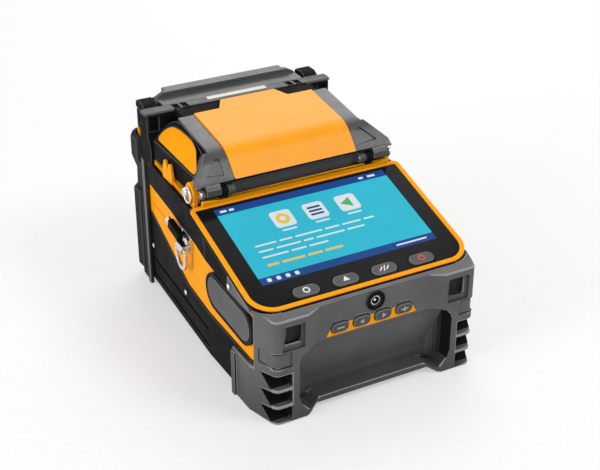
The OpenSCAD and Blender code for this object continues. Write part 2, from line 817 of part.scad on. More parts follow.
module display_bezel() {
    color(black) at_display() difference() {
        translate([0, 0, -rim_t]) linear_extrude(rim_t - bezel_drop) difference() {
            display_outline(rim_w + seat_gap);
            translate([0, -lcd_h / 2]) square([lcd_w + 2 * seat_gap, lcd_h + 2 * seat_gap], center = true);
            for (i = [1:4]) translate([pill_x(i), pill_y])
                pill(pill_l + 2 * part_gap, pill_w + 2 * part_gap);
        }
        leaf_slots();
    }
}

module lcd_panel() {
    color([0.15, 0.7, 0.82]) at_display()
        translate([-lcd_w / 2, -lcd_h, -rim_t]) cube([lcd_w, lcd_h, rim_t - bezel_drop - 0.1]);
}

// Dark torque hinge leaves on the display
module display_leaves() {
    color(charcoal) both_sides() difference() {
        union() {
            rod_x(leaf_in, leaf_in + leaf_w, leaf_r, hinge_y, hinge_z);
            at_display() along_x(leaf_in, leaf_in + leaf_w)
                polygon([[disp_rear - leaf_foot, -rim_t], [disp_rear - 0.1, -rim_t],
                    [disp_rear + 2.4, 6.5], [disp_rear - 1, 8]]);
        }
        rod_x(leaf_in - 1, leaf_in + leaf_w + 1, hinge_pin_r + run_fit, hinge_y, hinge_z);
    }
}

module screen_key(i) {
    color(charcoal) at_display() translate([pill_x(i), pill_y, pill_travel - rim_t + 0.2])
        linear_extrude(rim_t + pill_rise - pill_travel - 0.2) pill(pill_l, pill_w);
}

// Windproof cover. Lines lie a depth d below the lid panel's outer faces.

function slope_y(z, d) = lip_y + (z - lip_z) / tan(cover_slope) + d / sin(cover_slope);
function top_z(y, d) = bend_z + tan(cover_fall) * (y - bend_y) - d / cos(cover_fall);
// Where the front slope meets the top
function bend(d) = let (k = tan(cover_fall), m = tan(cover_slope), y0 = slope_y(lip_z, d), t0 = top_z(0, d))
    let (y = (t0 - lip_z + m * y0) / (m - k)) [y, t0 + k * y];

// Cover section from the front lip to a rear station, at depth d, with a blended bend
module cover_section(d, rear, bottom) {
    b = bend(d);
    r = 7;
    s = [b[0] - r * cos(cover_slope), b[1] - r * sin(cover_slope)];
    e = [b[0] + r * cos(cover_fall), b[1] + r * sin(cover_fall)];
    blend = [for (t = [0:1 / 6:1]) (1 - t) * (1 - t) * s + 2 * t * (1 - t) * b + t * t * e];
    foot = bottom < lip_z ? [[slope_y(lip_z, d), bottom]] : [];
    polygon(concat(foot, [[slope_y(lip_z, d), lip_z]], blend, [[rear, top_z(rear, d)], [rear, bottom]]));
}

// Front view of the cover: upright sides, then chamfers up to the arms
module cover_front(half_w, grow) {
    top = big;
    polygon([[-half_w, 0], [half_w, 0], [half_w, chamfer_z + grow], [arm_half_w + grow, bend_z + grow],
        [arm_half_w + grow, top], [-arm_half_w - grow, top], [-arm_half_w - grow, bend_z + grow],
        [-half_w, chamfer_z + grow]]);
}

module cover_body_outline() {
    union() {
        cover_section(body_d0, cover_rear, lip_z);
        translate([cover_side_y, cover_bottom])
            square([cover_rear - cover_side_y, lip_z - cover_bottom + 1]);
    }
}

module cover_finger(x) {
    along_x(x - finger_w / 2, x + finger_w / 2) {
        translate([cover_hinge_y, cover_hinge_z]) circle(knuckle_r);
        polygon([[cover_rear - 4, top_z(cover_rear - 4, body_d0 + cover_t)],
            [cover_rear - 4, top_z(cover_rear - 4, body_d0 + 0.1)],
            [cover_rear, top_z(cover_rear, body_d0 + 0.1)],
            [cover_hinge_y, cover_hinge_z + knuckle_r], [cover_hinge_y, cover_hinge_z - knuckle_r]]);
    }
}

// Outline of an inlay: straight lower edge, arched rear and curved upper front
module inlay_outline(up) {
    y0 = cover_side_y + 3.6;
    d = cover_rear - 2.5 - y0;
    shares = [[0.13, 0.98], [0.26, 1.01], [0.42, 1.005], [0.58, 0.985], [0.7, 0.955], [0.79, 0.915],
        [0.86, 0.86], [0.9, 0.79], [0.92, 0.7], [0.92, 0.56], [0.9, 0.42], [0.86, 0.31], [0.8, 0.21],
        [0.73, 0.13], [0.62, 0.06], [0.46, 0.015], [0.28, 0], [0.11, 0], [0.06, 0.025], [0.06, 0.08]];
    polygon([for (p = shares) [-up * p[0], y0 + d * p[1]]]);
}

// What the arched rear of the cover's sides leaves free, at depth d
module arch_space(d) {
    y1 = cover_rear - 15.5;
    from = [cover_rear + 0.3 - d, chamfer_z + 5.5 - d / 2];
    mid = [cover_rear - 1.8 - d * 0.75, top_z(cover_rear, body_d0) - 3.4 - d * 0.75];
    to = [y1, top_z(y1, body_d0) - d];
    arc = [for (t = [0:1 / 8:1]) (1 - t) * (1 - t) * from + 2 * t * (1 - t) * mid + t * t * to];
    both_sides() along_x(arm_half_w - 4.5 - d, big)
        polygon(concat(arc, [[y1, big], [big, big], [big, from[1]]]));
}

// Slab lying in the right-hand chamfer face, from depth d0 to d1 below it
module chamfer_slab(d0, d1, grow) {
    dx = cover_half_w - arm_half_w;
    dz = bend_z - chamfer_z;
    translate([cover_half_w, 0, chamfer_z]) rotate([0, atan2(dz, dx), 0]) translate([0, 0, -d1])
        linear_extrude(d1 - d0) {
            if (grow > 0) offset(delta = grow) inlay_outline(norm([dx, dz]));
            else inlay_outline(norm([dx, dz]));
        }
}

module cover_body() {
    t = cover_t;
    color(black) difference() {
        union() {
            difference() {
                intersection() {
                    along_x(-big, big) cover_body_outline();
                    along_y(-big, big) cover_front(cover_half_w, 0);
                }
                arch_space(0);
                difference() {
                    intersection() {
                        along_x(-big, big) {
                            cover_section(body_d0 + t, big, lip_z - 1);
                            translate([cover_side_y - 9, cover_bottom - 1])
                                square([big, lip_z - cover_bottom + 2]);
                        }
                        along_y(-big, big) cover_front(cover_half_w - t, -t);
                    }
                    arch_space(t);
                }
            }
            both_sides() for (x = finger_x) cover_finger(x);
        }
        both_sides() {
            chamfer_slab(-1, inlay_d + seat_gap, seat_gap);
            for (x = finger_x)
                rod_x(x - finger_w, x + finger_w, cover_pin_r + run_fit, cover_hinge_y, cover_hinge_z);
            box([cover_half_w - 8, fibre_y - 3, cover_bottom - 1],
                [cover_half_w + 1, fibre_y + 3, fibre_z + 2.5]);
        }
    }
}

module cover_inlays() {
    color(orange) both_sides() chamfer_slab(0, inlay_d, 0);
}

// Grey frame: arms beside the lid panel, front plates, lip and catch tabs
module cover_frame() {
    tip = cover_half_w + 2.9;
    plate = [[lid_half_w + seat_gap, lip_z], [tip, lip_z], [tip, chamfer_z + 0.4], [arm_half_w, bend_z + 1],
        [arm_half_w, big], [lid_half_w + seat_gap, big]];
    recess = [[arm_half_w - 5, bend_z - 4.5], [arm_half_w - 2, bend_z - 4], [arm_half_w + 6.2, lip_z + 3],
        [arm_half_w - 4.8, lip_z + 2.2]];
    color(grey) difference() {
        union() {
            both_sides() intersection() {
                along_x(lid_half_w + seat_gap, tip) difference() {
                    cover_section(frame_d, lid_rear, lip_z);
                    cover_section(frame_d + cover_t, big, lip_z - 1);
                }
                along_y(-big, big) polygon(plate);
                union() {
                    box([0, -big, 0], [arm_half_w, big, big]);
                    box([0, -big, 0], [big, slope_y(bend_z, frame_d) + 1, big]);
                }
            }
            box([-tip, slope_y(lip_z, 0) - 0.3, lip_z - 1], [tip, slope_y(lip_z, 0) + 4, lip_z + 0.02]);
            both_sides() along_x(tab_in, tab_out)
                polygon([[hinge_y - 3.2, hinge_z - 1], [hinge_y + 2.2, hinge_z - 1], [hinge_y + 2.2, lip_z],
                    [hinge_y - 1.8, lip_z], [hinge_y - 3.2, lip_z - 2]]);
        }
        both_sides() {
            rod_x(tab_in - 1, tab_out + 1, hinge_pin_r + part_gap, hinge_y, hinge_z);
            box([tab_in - 1, hinge_y - hinge_pin_r - part_gap, 0], [tab_out + 1, big, hinge_z]);
            along_y(-big, slope_y(bend_z, frame_d)) polygon(recess);
        }
    }
    color(grey) both_sides() intersection() {
        along_x(lid_half_w + 1, tip) difference() {
            cover_section(frame_d + 0.9, lid_rear, lip_z);
            cover_section(frame_d + cover_t, big, lip_z - 1);
        }
        along_y(-big, slope_y(bend_z, frame_d) + 1) offset(delta = 0.2) polygon(recess);
    }
}

module cover_lid_panel() {
    color(orange) difference() {
        along_x(-lid_half_w, lid_half_w) cover_section(0, lid_rear + lid_tongue, lip_z);
        along_x(-big, big) cover_section(body_d0 - seat_gap, big, lip_z - 1);
        both_sides() linear_extrude(big) polygon([[lid_tongue_half_w + tongue_flare, lid_rear],
            [lid_tongue_half_w - 0.5, lid_rear + lid_tongue + 1], [big, lid_rear + lid_tongue + 1],
            [big, lid_rear]]);
        box([-big, -big, 0], [big, big, lip_z + seat_gap]);
    }
}

module cover_hinge_pins() {
    color(steel) both_sides()
        rod_x(finger_x[0] - finger_w - 1.5, finger_x[1] + finger_w + 1.5, cover_pin_r, cover_hinge_y,
            cover_hinge_z);
}

// Rear housing with the heater

module housing_profile(floor_z) {
    polygon([[house_y0, deck_z], [house_y0, deck_z + 9], [house_y0 + 1.2, deck_z + 13],
        [rail_y0, deck_z + 17],
        [rail_y0, rail_z - rail_t], [rail_y1, rail_z - rail_t], [rail_y1, floor_z], [trough_y1, floor_z],
        [trough_y1, rear_wall_top], [house_y1, rear_wall_top], [house_y1, deck_z]]);
}

module finger_slots() {
    both_sides() for (x = finger_x)
        box([x - finger_w / 2 - part_gap, house_y0 - 1, cover_hinge_z - knuckle_r - 3.5],
            [x + finger_w / 2 + part_gap, cover_hinge_y + knuckle_r + 1, big]);
}

module rear_housing() {
    color(black) difference() {
        union() {
            difference() {
                along_x(-house_half_w, house_half_w) housing_profile(clamp_floor);
                box([-heater_half_w - 1, rail_y1, trough_z], [heater_half_w + 1, trough_y1, big]);
                both_sides() box([corner_half_w, corner_y, 0], [big, big, big]);
            }
            both_sides() {
                along_x(heater_half_w - lid_ear + 0.6, heater_half_w + 0.7) {
                    translate([lid_pin_y, lid_pin_z]) circle(lid_barrel_r);
                    translate([lid_pin_y - lid_barrel_r, rear_wall_top - 2])
                        square([2 * lid_barrel_r, lid_pin_z - rear_wall_top + 2]);
                }
                for (x = [clamp_in - part_gap - clamp_ear, clamp_out + part_gap])
                    along_x(x, x + clamp_ear) {
                    translate([clamp_pin_y, clamp_pin_z]) circle(2.2);
                    translate([clamp_pin_y - 2.2, clamp_floor - 1])
                        square([4.4, clamp_pin_z - clamp_floor + 1]);
                }
            }
        }
        finger_slots();
        both_sides() {
            rod_x(finger_x[0] - finger_w - 1.8, finger_x[1] + finger_w + 1.8, cover_pin_r + seat_gap / 2,
                cover_hinge_y, cover_hinge_z);
            rod_x(0, heater_half_w + 2, lid_pin_r + seat_gap / 2, lid_pin_y, lid_pin_z);
            rod_x(clamp_in - clamp_ear - 1, clamp_out + clamp_ear + 1, clamp_pin_r + run_fit,
                clamp_pin_y, clamp_pin_z);
            box([house_half_w - 1.6 - end_pocket[0], rail_y0 - 1, rail_z - rail_t - 1.4 - end_pocket[1]],
                [house_half_w - 1.6, rail_y0 + end_pocket[2], rail_z - rail_t - 1.4]);
        }
    }
}

module rear_rail() {
    color(grey) difference() {
        along_x(-rail_half_w, rail_half_w)
            polygon([[rail_y0, rail_z - rail_t], [rail_y1, rail_z - rail_t], [rail_y1, rail_z],
                [rail_y0 + 0.8, rail_z], [rail_y0, rail_z - 0.8]]);
        finger_slots();
        box([-light_half_w, rail_y0 + 3.4, rail_z - 0.9], [light_half_w, rail_y0 + 5.6, rail_z + 1]);
    }
}

module light_bar() {
    color("white") box([-light_half_w + seat_gap, rail_y0 + 3.4 + seat_gap, rail_z - 0.9],
        [light_half_w - seat_gap, rail_y0 + 5.6 - seat_gap, rail_z + 0.2]);
}

module heater_tray() {
    y0 = rail_y1 + 1;
    y1 = trough_y1 - 1.4;
    mid = (y0 + y1) / 2;
    top = rail_z - lid_t - 0.6;
    color(steel) along_x(-heater_half_w + 1, heater_half_w - 1)
        polygon([[y0, trough_z], [y1, trough_z], [y1, top], [y1 - tray_wall, top], [mid + 1, trough_z + 4],
            [mid - 1, trough_z + 4], [y0 + tray_wall, top], [y0, top]]);
}

module heater_lid() {
    y0 = rail_y1 + part_gap;
    ridge = house_y1 - 9.6;
    z0 = rail_z - lid_t;
    color(grey) difference() {
        union() {
            along_x(-heater_half_w, heater_half_w)
                polygon([[y0, z0], [y0, rail_z], [ridge, rail_z], [ridge + 0.8, rail_z + ridge_h],
                    [house_y1 - 1, rail_z + ridge_h], [house_y1, rail_z + ridge_h - 1], [house_y1, z0]]);
            rod_x(-heater_half_w + lid_ear, heater_half_w - lid_ear, lid_barrel_r, lid_pin_y, lid_pin_z);
            along_x(-heater_half_w + lid_ear, heater_half_w - lid_ear)
                translate([lid_pin_y - lid_barrel_r, lid_pin_z]) square([2 * lid_barrel_r,
                    z0 - lid_pin_z + 0.5]);
        }
        rod_x(-big, big, lid_pin_r + run_fit, lid_pin_y, lid_pin_z);
        both_sides() {
            box([heater_half_w - lid_ear, lid_pin_y - lid_barrel_r - 1.5, 0], [big, big, big]);
            along_y(-big, big) polygon([[heater_half_w - 6, rail_z + ridge_h + 0.3],
                [heater_half_w + 1, rail_z],
                [heater_half_w + 1, big], [heater_half_w - 6, big]]);
        }
    }
}

module heater_lid_pin() {
    color(steel) rod_x(-heater_half_w - 0.6, heater_half_w + 0.6, lid_pin_r, lid_pin_y, lid_pin_z);
}

// Flap that holds the fibre at one end of the heater
module heater_clamp(s) {
    color(black) one_side(s) {
        rod_x(clamp_in - clamp_ear, clamp_out + clamp_ear, clamp_pin_r, clamp_pin_y, clamp_pin_z);
        rod_x(clamp_in, clamp_out, 2, clamp_pin_y, clamp_pin_z);
        along_x(clamp_in, clamp_out)
            polygon([[clamp_pin_y, clamp_pin_z - 1.4], [clamp_pin_y + 0.9, clamp_pin_z + 1],
                [clamp_pin_y + 0.8, rail_z],
                [clamp_pin_y - 1, rail_z + 1.4], [rail_y1 + 5, rail_z + 1.4], [rail_y1 + 1.4, rail_z - 0.8],
                [rail_y1 + 1.4, clamp_pin_z - 0.4]]);
        along_x(clamp_out - 0.5, flap_out)
            polygon([[clamp_pin_y + 0.9, clamp_pin_z + 2.8], [clamp_pin_y + 0.8, rail_z],
                [clamp_pin_y - 1, rail_z + 1.4],
                [rail_y1 + 5, rail_z + 1.4], [rail_y1 + 1.4, rail_z - 0.8],
                [rail_y1 + 1.4, clamp_pin_z + 2.8]]);
        along_x(clamp_in + 1, clamp_out - 1)
            polygon([[rail_y1 + 4, clamp_floor + 0.4], [rail_y1 + 10, clamp_floor + 0.4],
                [rail_y1 + 10, clamp_pin_z],
                [rail_y1 + 4, clamp_pin_z]]);
    }
}

// Splice head on the deck

module splice_base() {
    mid = (carriage_x0 + carriage_x1) / 2;
    slot = carriage_travel + tongue_w / 2 + 1;
    color(grey) difference() {
        union() {
            box([-base_half_w, fibre_y - 24 * head_k, deck_z],
                [base_half_w, fibre_y + 22 * head_k, base_top]);
            both_sides() for (y = [-5.5, 5.5])
                box([carriage_x0 - 4, fibre_y + y - 1.5, base_top - 1],
                    [carriage_x1 + 4, fibre_y + y + 1.5, base_top + rail_rib_h]);
            for (y = [-post_y, post_y])
                box([-4.5, fibre_y + y - post_half_d, base_top - 1],
                    [4.5, fibre_y + y + post_half_d, fibre_z + 3]);
            both_sides() for (x = [-1, 1])
                translate([clamp_arm_x + x * (clamp_arm_w / 2 + 1.3) - 1, 0, 0]) along_x(0, 2) {
                    translate([clamp_arm_y, clamp_arm_z]) circle(clamp_post_r);
                    translate([clamp_arm_y - clamp_post_r, base_top - 1])
                        square([2 * clamp_post_r, clamp_arm_z - base_top + 1]);
                }
        }
        box([-optics_x, fibre_y - 12, deck_z - 1], [optics_x, fibre_y - 6, base_top + 1]);
        box([-optics_x, fibre_y + 6, deck_z - 1], [optics_x, fibre_y + 12, base_top + 1]);
        both_sides() {
            box([mid - slot, fibre_y - 3, deck_z - 1], [mid + slot, fibre_y + 3, base_top + 1]);
            rod_x(clamp_arm_x - 6, clamp_arm_x + 6, 1 + run_fit, clamp_arm_y, clamp_arm_z);
        }
        translate([0, fibre_y - big / 2, fibre_z]) rotate([-90, 0, 0]) cylinder(h = big,
            r = electrode_r + seat_gap / 2);
    }
}

module v_groove_block() {
    color("white") difference() {
        along_x(-9.5, 9.5) polygon([[fibre_y - 5, base_top], [fibre_y + 5, base_top],
            [fibre_y + 4, fibre_z - 0.2],
            [fibre_y + 0.9, fibre_z - 0.2], [fibre_y, fibre_z - 1.2], [fibre_y - 0.9, fibre_z - 0.2],
            [fibre_y - 4, fibre_z - 0.2]]);
        box([-3, -big, base_top + 2.5], [3, big, big]);
    }
}

module electrodes() {
    color(steel) for (s = [-1, 1]) translate([0, fibre_y, fibre_z]) rotate([-90 * s, 0, 0]) {
        translate([0, 0, 4.5]) cylinder(h = electrode_out - electrode_head - 2.5, r = electrode_r);
        translate([0, 0, 1.5]) cylinder(h = 3, r1 = 0.15, r2 = electrode_r);
        translate([0, 0, electrode_out - electrode_head]) cylinder(h = electrode_head,
            r = electrode_r + 1.2);
    }
}

// Arm that presses the fibre into its V-groove
module fibre_clamp(s) {
    x0 = clamp_arm_x - clamp_arm_w / 2;
    color(charcoal) one_side(s) {
        rod_x(clamp_arm_x - clamp_arm_w / 2 - 2.2, clamp_arm_x + clamp_arm_w / 2 + 2.2, 1, clamp_arm_y,
            clamp_arm_z);
        along_x(x0, x0 + clamp_arm_w) {
            translate([clamp_arm_y, clamp_arm_z]) circle(2.2);
            polygon([[clamp_arm_y, clamp_arm_z - 1.2], [clamp_arm_y, clamp_arm_z + 2.2],
                [fibre_y - 1, clamp_arm_z + 2.8],
                [fibre_y - 2.5, clamp_arm_z + 1.6], [fibre_y - 2.5, clamp_arm_z - 0.6]]);
        }
        box([clamp_arm_x - 5.5, fibre_y - 1.6, fibre_z + 0.15],
            [clamp_arm_x, fibre_y + 1.6, clamp_arm_z + 0.5]);
    }
}

// Sliding fibre holder, with the tongue and rod that the feed motor moves
module fibre_carriage(s) {
    mid = (carriage_x0 + carriage_x1) / 2;
    color([0.2, 0.22, 0.25]) one_side(s) {
        difference() {
            box([carriage_x0, fibre_y - carriage_d / 2, base_top + part_gap],
                [carriage_x1, fibre_y + carriage_d / 2, fibre_z - 0.4]);
            for (y = [-5.5, 5.5]) box([0, fibre_y + y - 1.5 - part_gap / 2, 0],
                [big, fibre_y + y + 1.5 + part_gap / 2, base_top + rail_rib_h + part_gap]);
        }
        box([carriage_x0 + 3, fibre_y - carriage_d / 2 + 2, fibre_z - 0.5],
            [carriage_x1 - 3, fibre_y - 1, fibre_z + 2.4]);
        box([carriage_x0 + 3, fibre_y + 1, fibre_z - 0.5],
            [carriage_x1 - 3, fibre_y + carriage_d / 2 - 2, fibre_z + 2.4]);
        box([mid - tongue_w / 2, fibre_y - 2.2, motor_z - 2.5],
            [mid + tongue_w / 2, fibre_y + 2.2, base_top + 1]);
        rod_x(mid, motor_x0 + 6, push_rod_r, fibre_y, motor_z);
    }
}

module feed_motors() {
    color(steel) both_sides() difference() {
        union() {
            rod_x(motor_x0, motor_x1, motor_r, fibre_y, motor_z);
            box([motor_x0, fibre_y - motor_r, motor_z], [motor_x1, fibre_y + motor_r, deck_z - wall - eps]);
        }
        rod_x(motor_x0 - 1, motor_x0 + 10, push_rod_r + run_fit, fibre_y, motor_z);
    }
}

module microscopes() {
    top = deck_z - wall - eps;
    color(black) for (s = [-1, 1]) {
        intersection() {
            translate([0, fibre_y, fibre_z]) rotate([180 - s * optics_tilt, 0, 0]) union() {
                translate([0, 0, 18]) cylinder(h = 24, r = 4.5);
                translate([0, 0, 38]) cylinder(h = 7, r = 7);
            }
            box([-big, -big, 0], [big, big, top]);
        }
        box([3.6, fibre_y + s * 18 - 3.5, deck_z - 14], [6, fibre_y + s * 18 + 3.5, top]);
        box([3.6, fibre_y + s * 18 - 3.5, top - 2], [12, fibre_y + s * 18 + 3.5, top]);
    }
}

// Inside the base case

module main_board() {
    color([0.1, 0.35, 0.2]) {
        box([-board_half_w, board_y[0], board_z], [board_half_w, board_y[1], board_z + board_t]);
        for (x = [-34, -12, 10]) box([x, board_y[0] + 8, board_z + board_t - 0.1],
            [x + 14, board_y[0] + 22, board_z + board_t + 2.4]);
    }
}

module high_voltage_module() {
    color([0.75, 0.7, 0.2]) {
        box([-22, board_y[1] - 46, board_z + board_t], [22, board_y[1] - 10, board_z + board_t + 18]);
        box([-8, board_y[1] - 50, board_z + board_t + 3],
            [8, board_y[1] - 46 + eps, board_z + board_t + 12]);
    }
}

module battery_pack() {
    z0 = foot_h + floor_t;
    color([0.2, 0.3, 0.6]) {
        box([-door_half_w + 4, door_y[0] + 3, z0], [door_half_w - 4, door_y[1] - 3, z0 + 21]);
        box([-10, door_y[1] - 3 - eps, z0 + 8], [10, door_y[1] + 1, z0 + 16]);
    }
}

module battery_door() {
    color(charcoal) difference() {
        box([-door_half_w + seat_gap, door_y[0] + seat_gap, foot_h],
            [door_half_w - seat_gap, door_y[1] - seat_gap, foot_h + floor_t]);
        for (x = [-15:6:15]) box([x - 1, door_y[1] - 16, foot_h - 1], [x + 1, door_y[1] - 6, foot_h + 1]);
    }
}

module feet() {
    color(black) for (x = [-48, 48], y = [case_front + 10, body_rear - 16])
        translate([x, y, 0]) {
            cylinder(h = foot_h, r = foot_r);
        }
}

// Side fittings

module grip_pads() {
    x = hw_max - skin + seat_gap / 2;
    color(charcoal) both_sides() difference() {
        translate([x, pad_y, pad_z]) rotate([90, 0, 90]) rotate(pad_tilt) union() {
            linear_extrude(pad_t) pill(pad_l, pad_h);
        }
        translate([x + pad_t - 0.7, pad_y, pad_z]) rotate([90, 0, 90]) rotate(pad_tilt)
            linear_extrude(2) difference() {
                pill(pad_l - 2, pad_h - 2);
                pill(pad_l - 5, pad_h - 5);
            }
    }
}

module strap_brackets() {
    color(steel) both_sides() on_side() translate([-skin + seat_gap / 2, bracket_y, 0]) difference() {
        union() {
            box([0, -bracket_w / 2, strap_bar_z], [bracket_t, bracket_w / 2, bracket_z + bracket_h / 2]);
            translate([strap_bar_x + skin, -bracket_w / 2 + 4.5, strap_bar_z]) rotate([-90, 0, 0])
                cylinder(h = bracket_w - 9, r = strap_bar_r + 1.1);
            box([0, -bracket_w / 2 + 4.5, strap_bar_z - 1],
                [strap_bar_x + skin, bracket_w / 2 - 4.5, strap_bar_z + 2.3]);
            for (y = [-1, 1]) translate([bracket_t - 0.2, y * (bracket_w / 2 - 2),
                bracket_z + 2]) rotate([0, 90, 0])
                cylinder(h = 2.6, r = 2.2);
        }
        translate([strap_bar_x + skin, -big, strap_bar_z]) rotate([-90, 0, 0])
            cylinder(h = 2 * big, r = strap_bar_r + run_fit);
    }
}

// Outline of a ring with a straight top and a round bottom
module ring_2d(half, drop, top) {
    arc = [for (a = [180:7.5:360]) [half * cos(a), half * sin(a) - drop]];
    polygon(concat(arc, [[half, top], [-half, top]]));
}

// Ring that hangs from its bracket by a round bar
module strap_ring(s) {
    half = strap_ring_w / 2;
    drop = strap_ring_h - half;
    r = strap_bar_r;
    color(steel) one_side(s) on_side() translate([strap_bar_x + seat_gap / 2, bracket_y, strap_bar_z]) {
        translate([0, -half, 0]) rotate([-90, 0, 0]) cylinder(h = 2 * half, r = r);
        along_x(-r * 0.8, r * 0.8) difference() {
            ring_2d(half + r, drop, r * 0.6);
            ring_2d(half - r, drop, 2 * r);
        }
    }
}

module lanyard_pins() {
    color(steel) both_sides() {
        rod_x(ear_x0 + 0.3, lanyard_x + wire_r + part_gap + 1.2, hinge_pin_r, ear_y, ear_z);
        rod_x(lanyard_x + wire_r + part_gap, lanyard_x + wire_r + part_gap + 1.2, hinge_pin_r + 1.1,
            ear_y, ear_z);
    }
}

module lanyard_ring(s) {
    color(steel) one_side(s) translate([lanyard_x, ear_y, lanyard_z]) rotate([0, 90, 0])
        rotate_extrude() translate([lanyard_r, 0]) circle(wire_r, $fn = 24);
}

module screw_head(r) {
    rotate([0, 90, 0]) difference() {
        cylinder(h = 0.9, r = r);
        translate([0, 0, 0.4]) cylinder(h = 1, r = r * 0.5, $fn = 6);
    }
}

module case_screws() {
    color(steel) both_sides() {
        on_side() {
            translate([eps, 13, 26.5]) screw_head(1.7);
            translate([eps, body_rear - 22, 30]) screw_head(1.7);
        }
        translate([hw_max + bumper_t + eps, arm_rear - 3, arm_z + 5.1]) screw_head(1.7);
    }
}

lower_case();
body_shell();
side_band(-1);  // side_band_left
side_band(1);  // side_band_right
front_bumper();
rear_bumper(-1);  // rear_bumper_left
rear_bumper(1);  // rear_bumper_right
rear_vent();
front_key_panel();
front_key(1);  // front_key_1
front_key(2);  // front_key_2
front_key(3);  // front_key_3
front_key(4);  // front_key_4
power_jack();
hinge_bar();
hinge_pins();
lanyard_pins();
lanyard_ring(-1);  // lanyard_ring_left
lanyard_ring(1);  // lanyard_ring_right
display_frame();
display_back();
display_bezel();
lcd_panel();
display_leaves();
screen_key(1);  // screen_key_1
screen_key(2);  // screen_key_2
screen_key(3);  // screen_key_3
screen_key(4);  // screen_key_4
cover_body();
cover_frame();
cover_lid_panel();
cover_inlays();
cover_hinge_pins();
rear_housing();
rear_rail();
light_bar();
heater_tray();
heater_lid();
heater_lid_pin();
heater_clamp(-1);  // heater_clamp_left
heater_clamp(1);  // heater_clamp_right
splice_base();
v_groove_block();
electrodes();
fibre_clamp(-1);  // fibre_clamp_left
fibre_clamp(1);  // fibre_clamp_right
fibre_carriage(-1);  // fibre_carriage_left
fibre_carriage(1);  // fibre_carriage_right
microscopes();
feed_motors();
main_board();
high_voltage_module();
battery_pack();
battery_door();
feet();
grip_pads();
strap_brackets();
strap_ring(-1);  // strap_ring_left
strap_ring(1);  // strap_ring_right
case_screws();
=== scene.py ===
"""Looks of a portable fiber fusion splicer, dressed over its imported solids."""

import json
import math

import bmesh
import bpy
from mathutils import Matrix, Vector
from mathutils.bvhtree import BVHTree

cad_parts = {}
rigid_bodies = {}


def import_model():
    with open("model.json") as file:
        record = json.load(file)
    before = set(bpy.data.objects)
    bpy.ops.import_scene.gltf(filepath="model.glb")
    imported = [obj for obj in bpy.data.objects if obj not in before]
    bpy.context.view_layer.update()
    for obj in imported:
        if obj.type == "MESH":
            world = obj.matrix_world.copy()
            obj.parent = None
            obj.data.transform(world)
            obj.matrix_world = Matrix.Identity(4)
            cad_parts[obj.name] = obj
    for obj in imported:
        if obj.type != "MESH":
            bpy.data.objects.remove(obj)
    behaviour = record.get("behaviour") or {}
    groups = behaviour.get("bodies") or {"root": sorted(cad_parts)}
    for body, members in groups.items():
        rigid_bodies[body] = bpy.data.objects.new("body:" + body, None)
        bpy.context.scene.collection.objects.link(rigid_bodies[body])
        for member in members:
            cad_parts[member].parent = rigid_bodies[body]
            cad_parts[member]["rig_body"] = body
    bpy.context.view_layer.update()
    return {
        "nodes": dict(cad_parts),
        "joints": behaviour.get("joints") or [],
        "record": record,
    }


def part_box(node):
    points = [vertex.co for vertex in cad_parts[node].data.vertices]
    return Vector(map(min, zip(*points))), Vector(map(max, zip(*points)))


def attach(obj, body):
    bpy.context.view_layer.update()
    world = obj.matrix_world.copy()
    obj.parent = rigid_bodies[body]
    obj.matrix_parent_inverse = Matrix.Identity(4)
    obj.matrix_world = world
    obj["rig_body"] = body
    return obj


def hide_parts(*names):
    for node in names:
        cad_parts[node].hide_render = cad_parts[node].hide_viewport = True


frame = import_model()
NODES = frame["nodes"]
MM = 0.001

# Cleaning and rounding of the solids' copies
MERGE_DISTANCE = 3e-6
PLANE_ANGLE = math.radians(0.6)
SHARP_ANGLE = math.radians(38.0)
ROUNDED_ANGLE = math.radians(32.0)
ROUNDING_STEPS = (1.0, 0.5, 0.22)
ROUNDING_SEGMENTS = 3
ROOM_FOR_ROUNDING = 2.05

# Cosines between edges that meet: one that runs on past a corner, and one that folds back
RUNS_ON = -0.9
FOLDS_BACK = 0.98
LEAST_SINE = 0.2

# Wear and painted highlight of rounded edges: outward ones are rubbed and lightened, inward ones
# only count as done
FULL_EDGE_WEAR_AND_HIGHLIGHT = 1.0
NO_EDGE_WEAR_AND_HIGHLIGHT = 0.01

# Painted shade in narrow recesses: rays by lean in degrees and number, their reach, the blocked
# share at which the painted shade starts and grows full, and how dark it gets
RECESS_RAYS = ((12.0, 4), (30.0, 6), (62.0, 10))
RECESS_REACH = 9.0 * MM
RECESS_LIFT = 0.02 * MM
RECESS_START = 0.25
RECESS_RANGE = 0.2
RECESS_COVER = 0.95
RECESS_TONE = 0.02

# Marks lie this far off the faces that carry them
MARK_CLEARANCE = 0.01 * MM

# The paper floor: its half width, and the distances over which it fades to white
PAPER_HALF = 3.0
PAPER_NEAR = 0.75
PAPER_FAR = 1.6

# Soft boxes: name, place, target, size and power
LAMPS = (
    ("back_key", (0.62, 0.92, 1.1), (0.0, 0.02, 0.1), 1.0, 10.0),
    ("slope_fill", (0.6, -0.78, 1.1), (0.0, 0.0, 0.1), 0.5, 7.0),
    ("left_fill", (-1.1, -0.2, 0.5), (0.0, 0.0, 0.06), 0.6, 7.0),
)

# The camera, fitted to the photograph
CAMERA_PLACE = (-0.3128, -0.58156, 0.41078)
CAMERA_AZIMUTH = math.radians(-28.672)
CAMERA_ELEVATION = math.radians(28.944)
CAMERA_LENS = 75.482
CAMERA_SHIFT = 13.0 / 600.0

bl_info = {
    "name": "Fiber fusion splicer looks",
    "version": (1, 0, 0),
    "blender": (4, 5, 0),
    "location": "View3D > Sidebar > Splicer",
    "description": "Dresses the packed solids of a fiber fusion splicer "
                   "with finishes and fine pieces",
    "category": "Object",
}


def joint(name):
    """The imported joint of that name."""
    return next(j for j in frame["joints"] if j["name"] == name)


def body_of_node(node):
    """The body that a solid belongs to."""
    return NODES[node]["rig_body"]


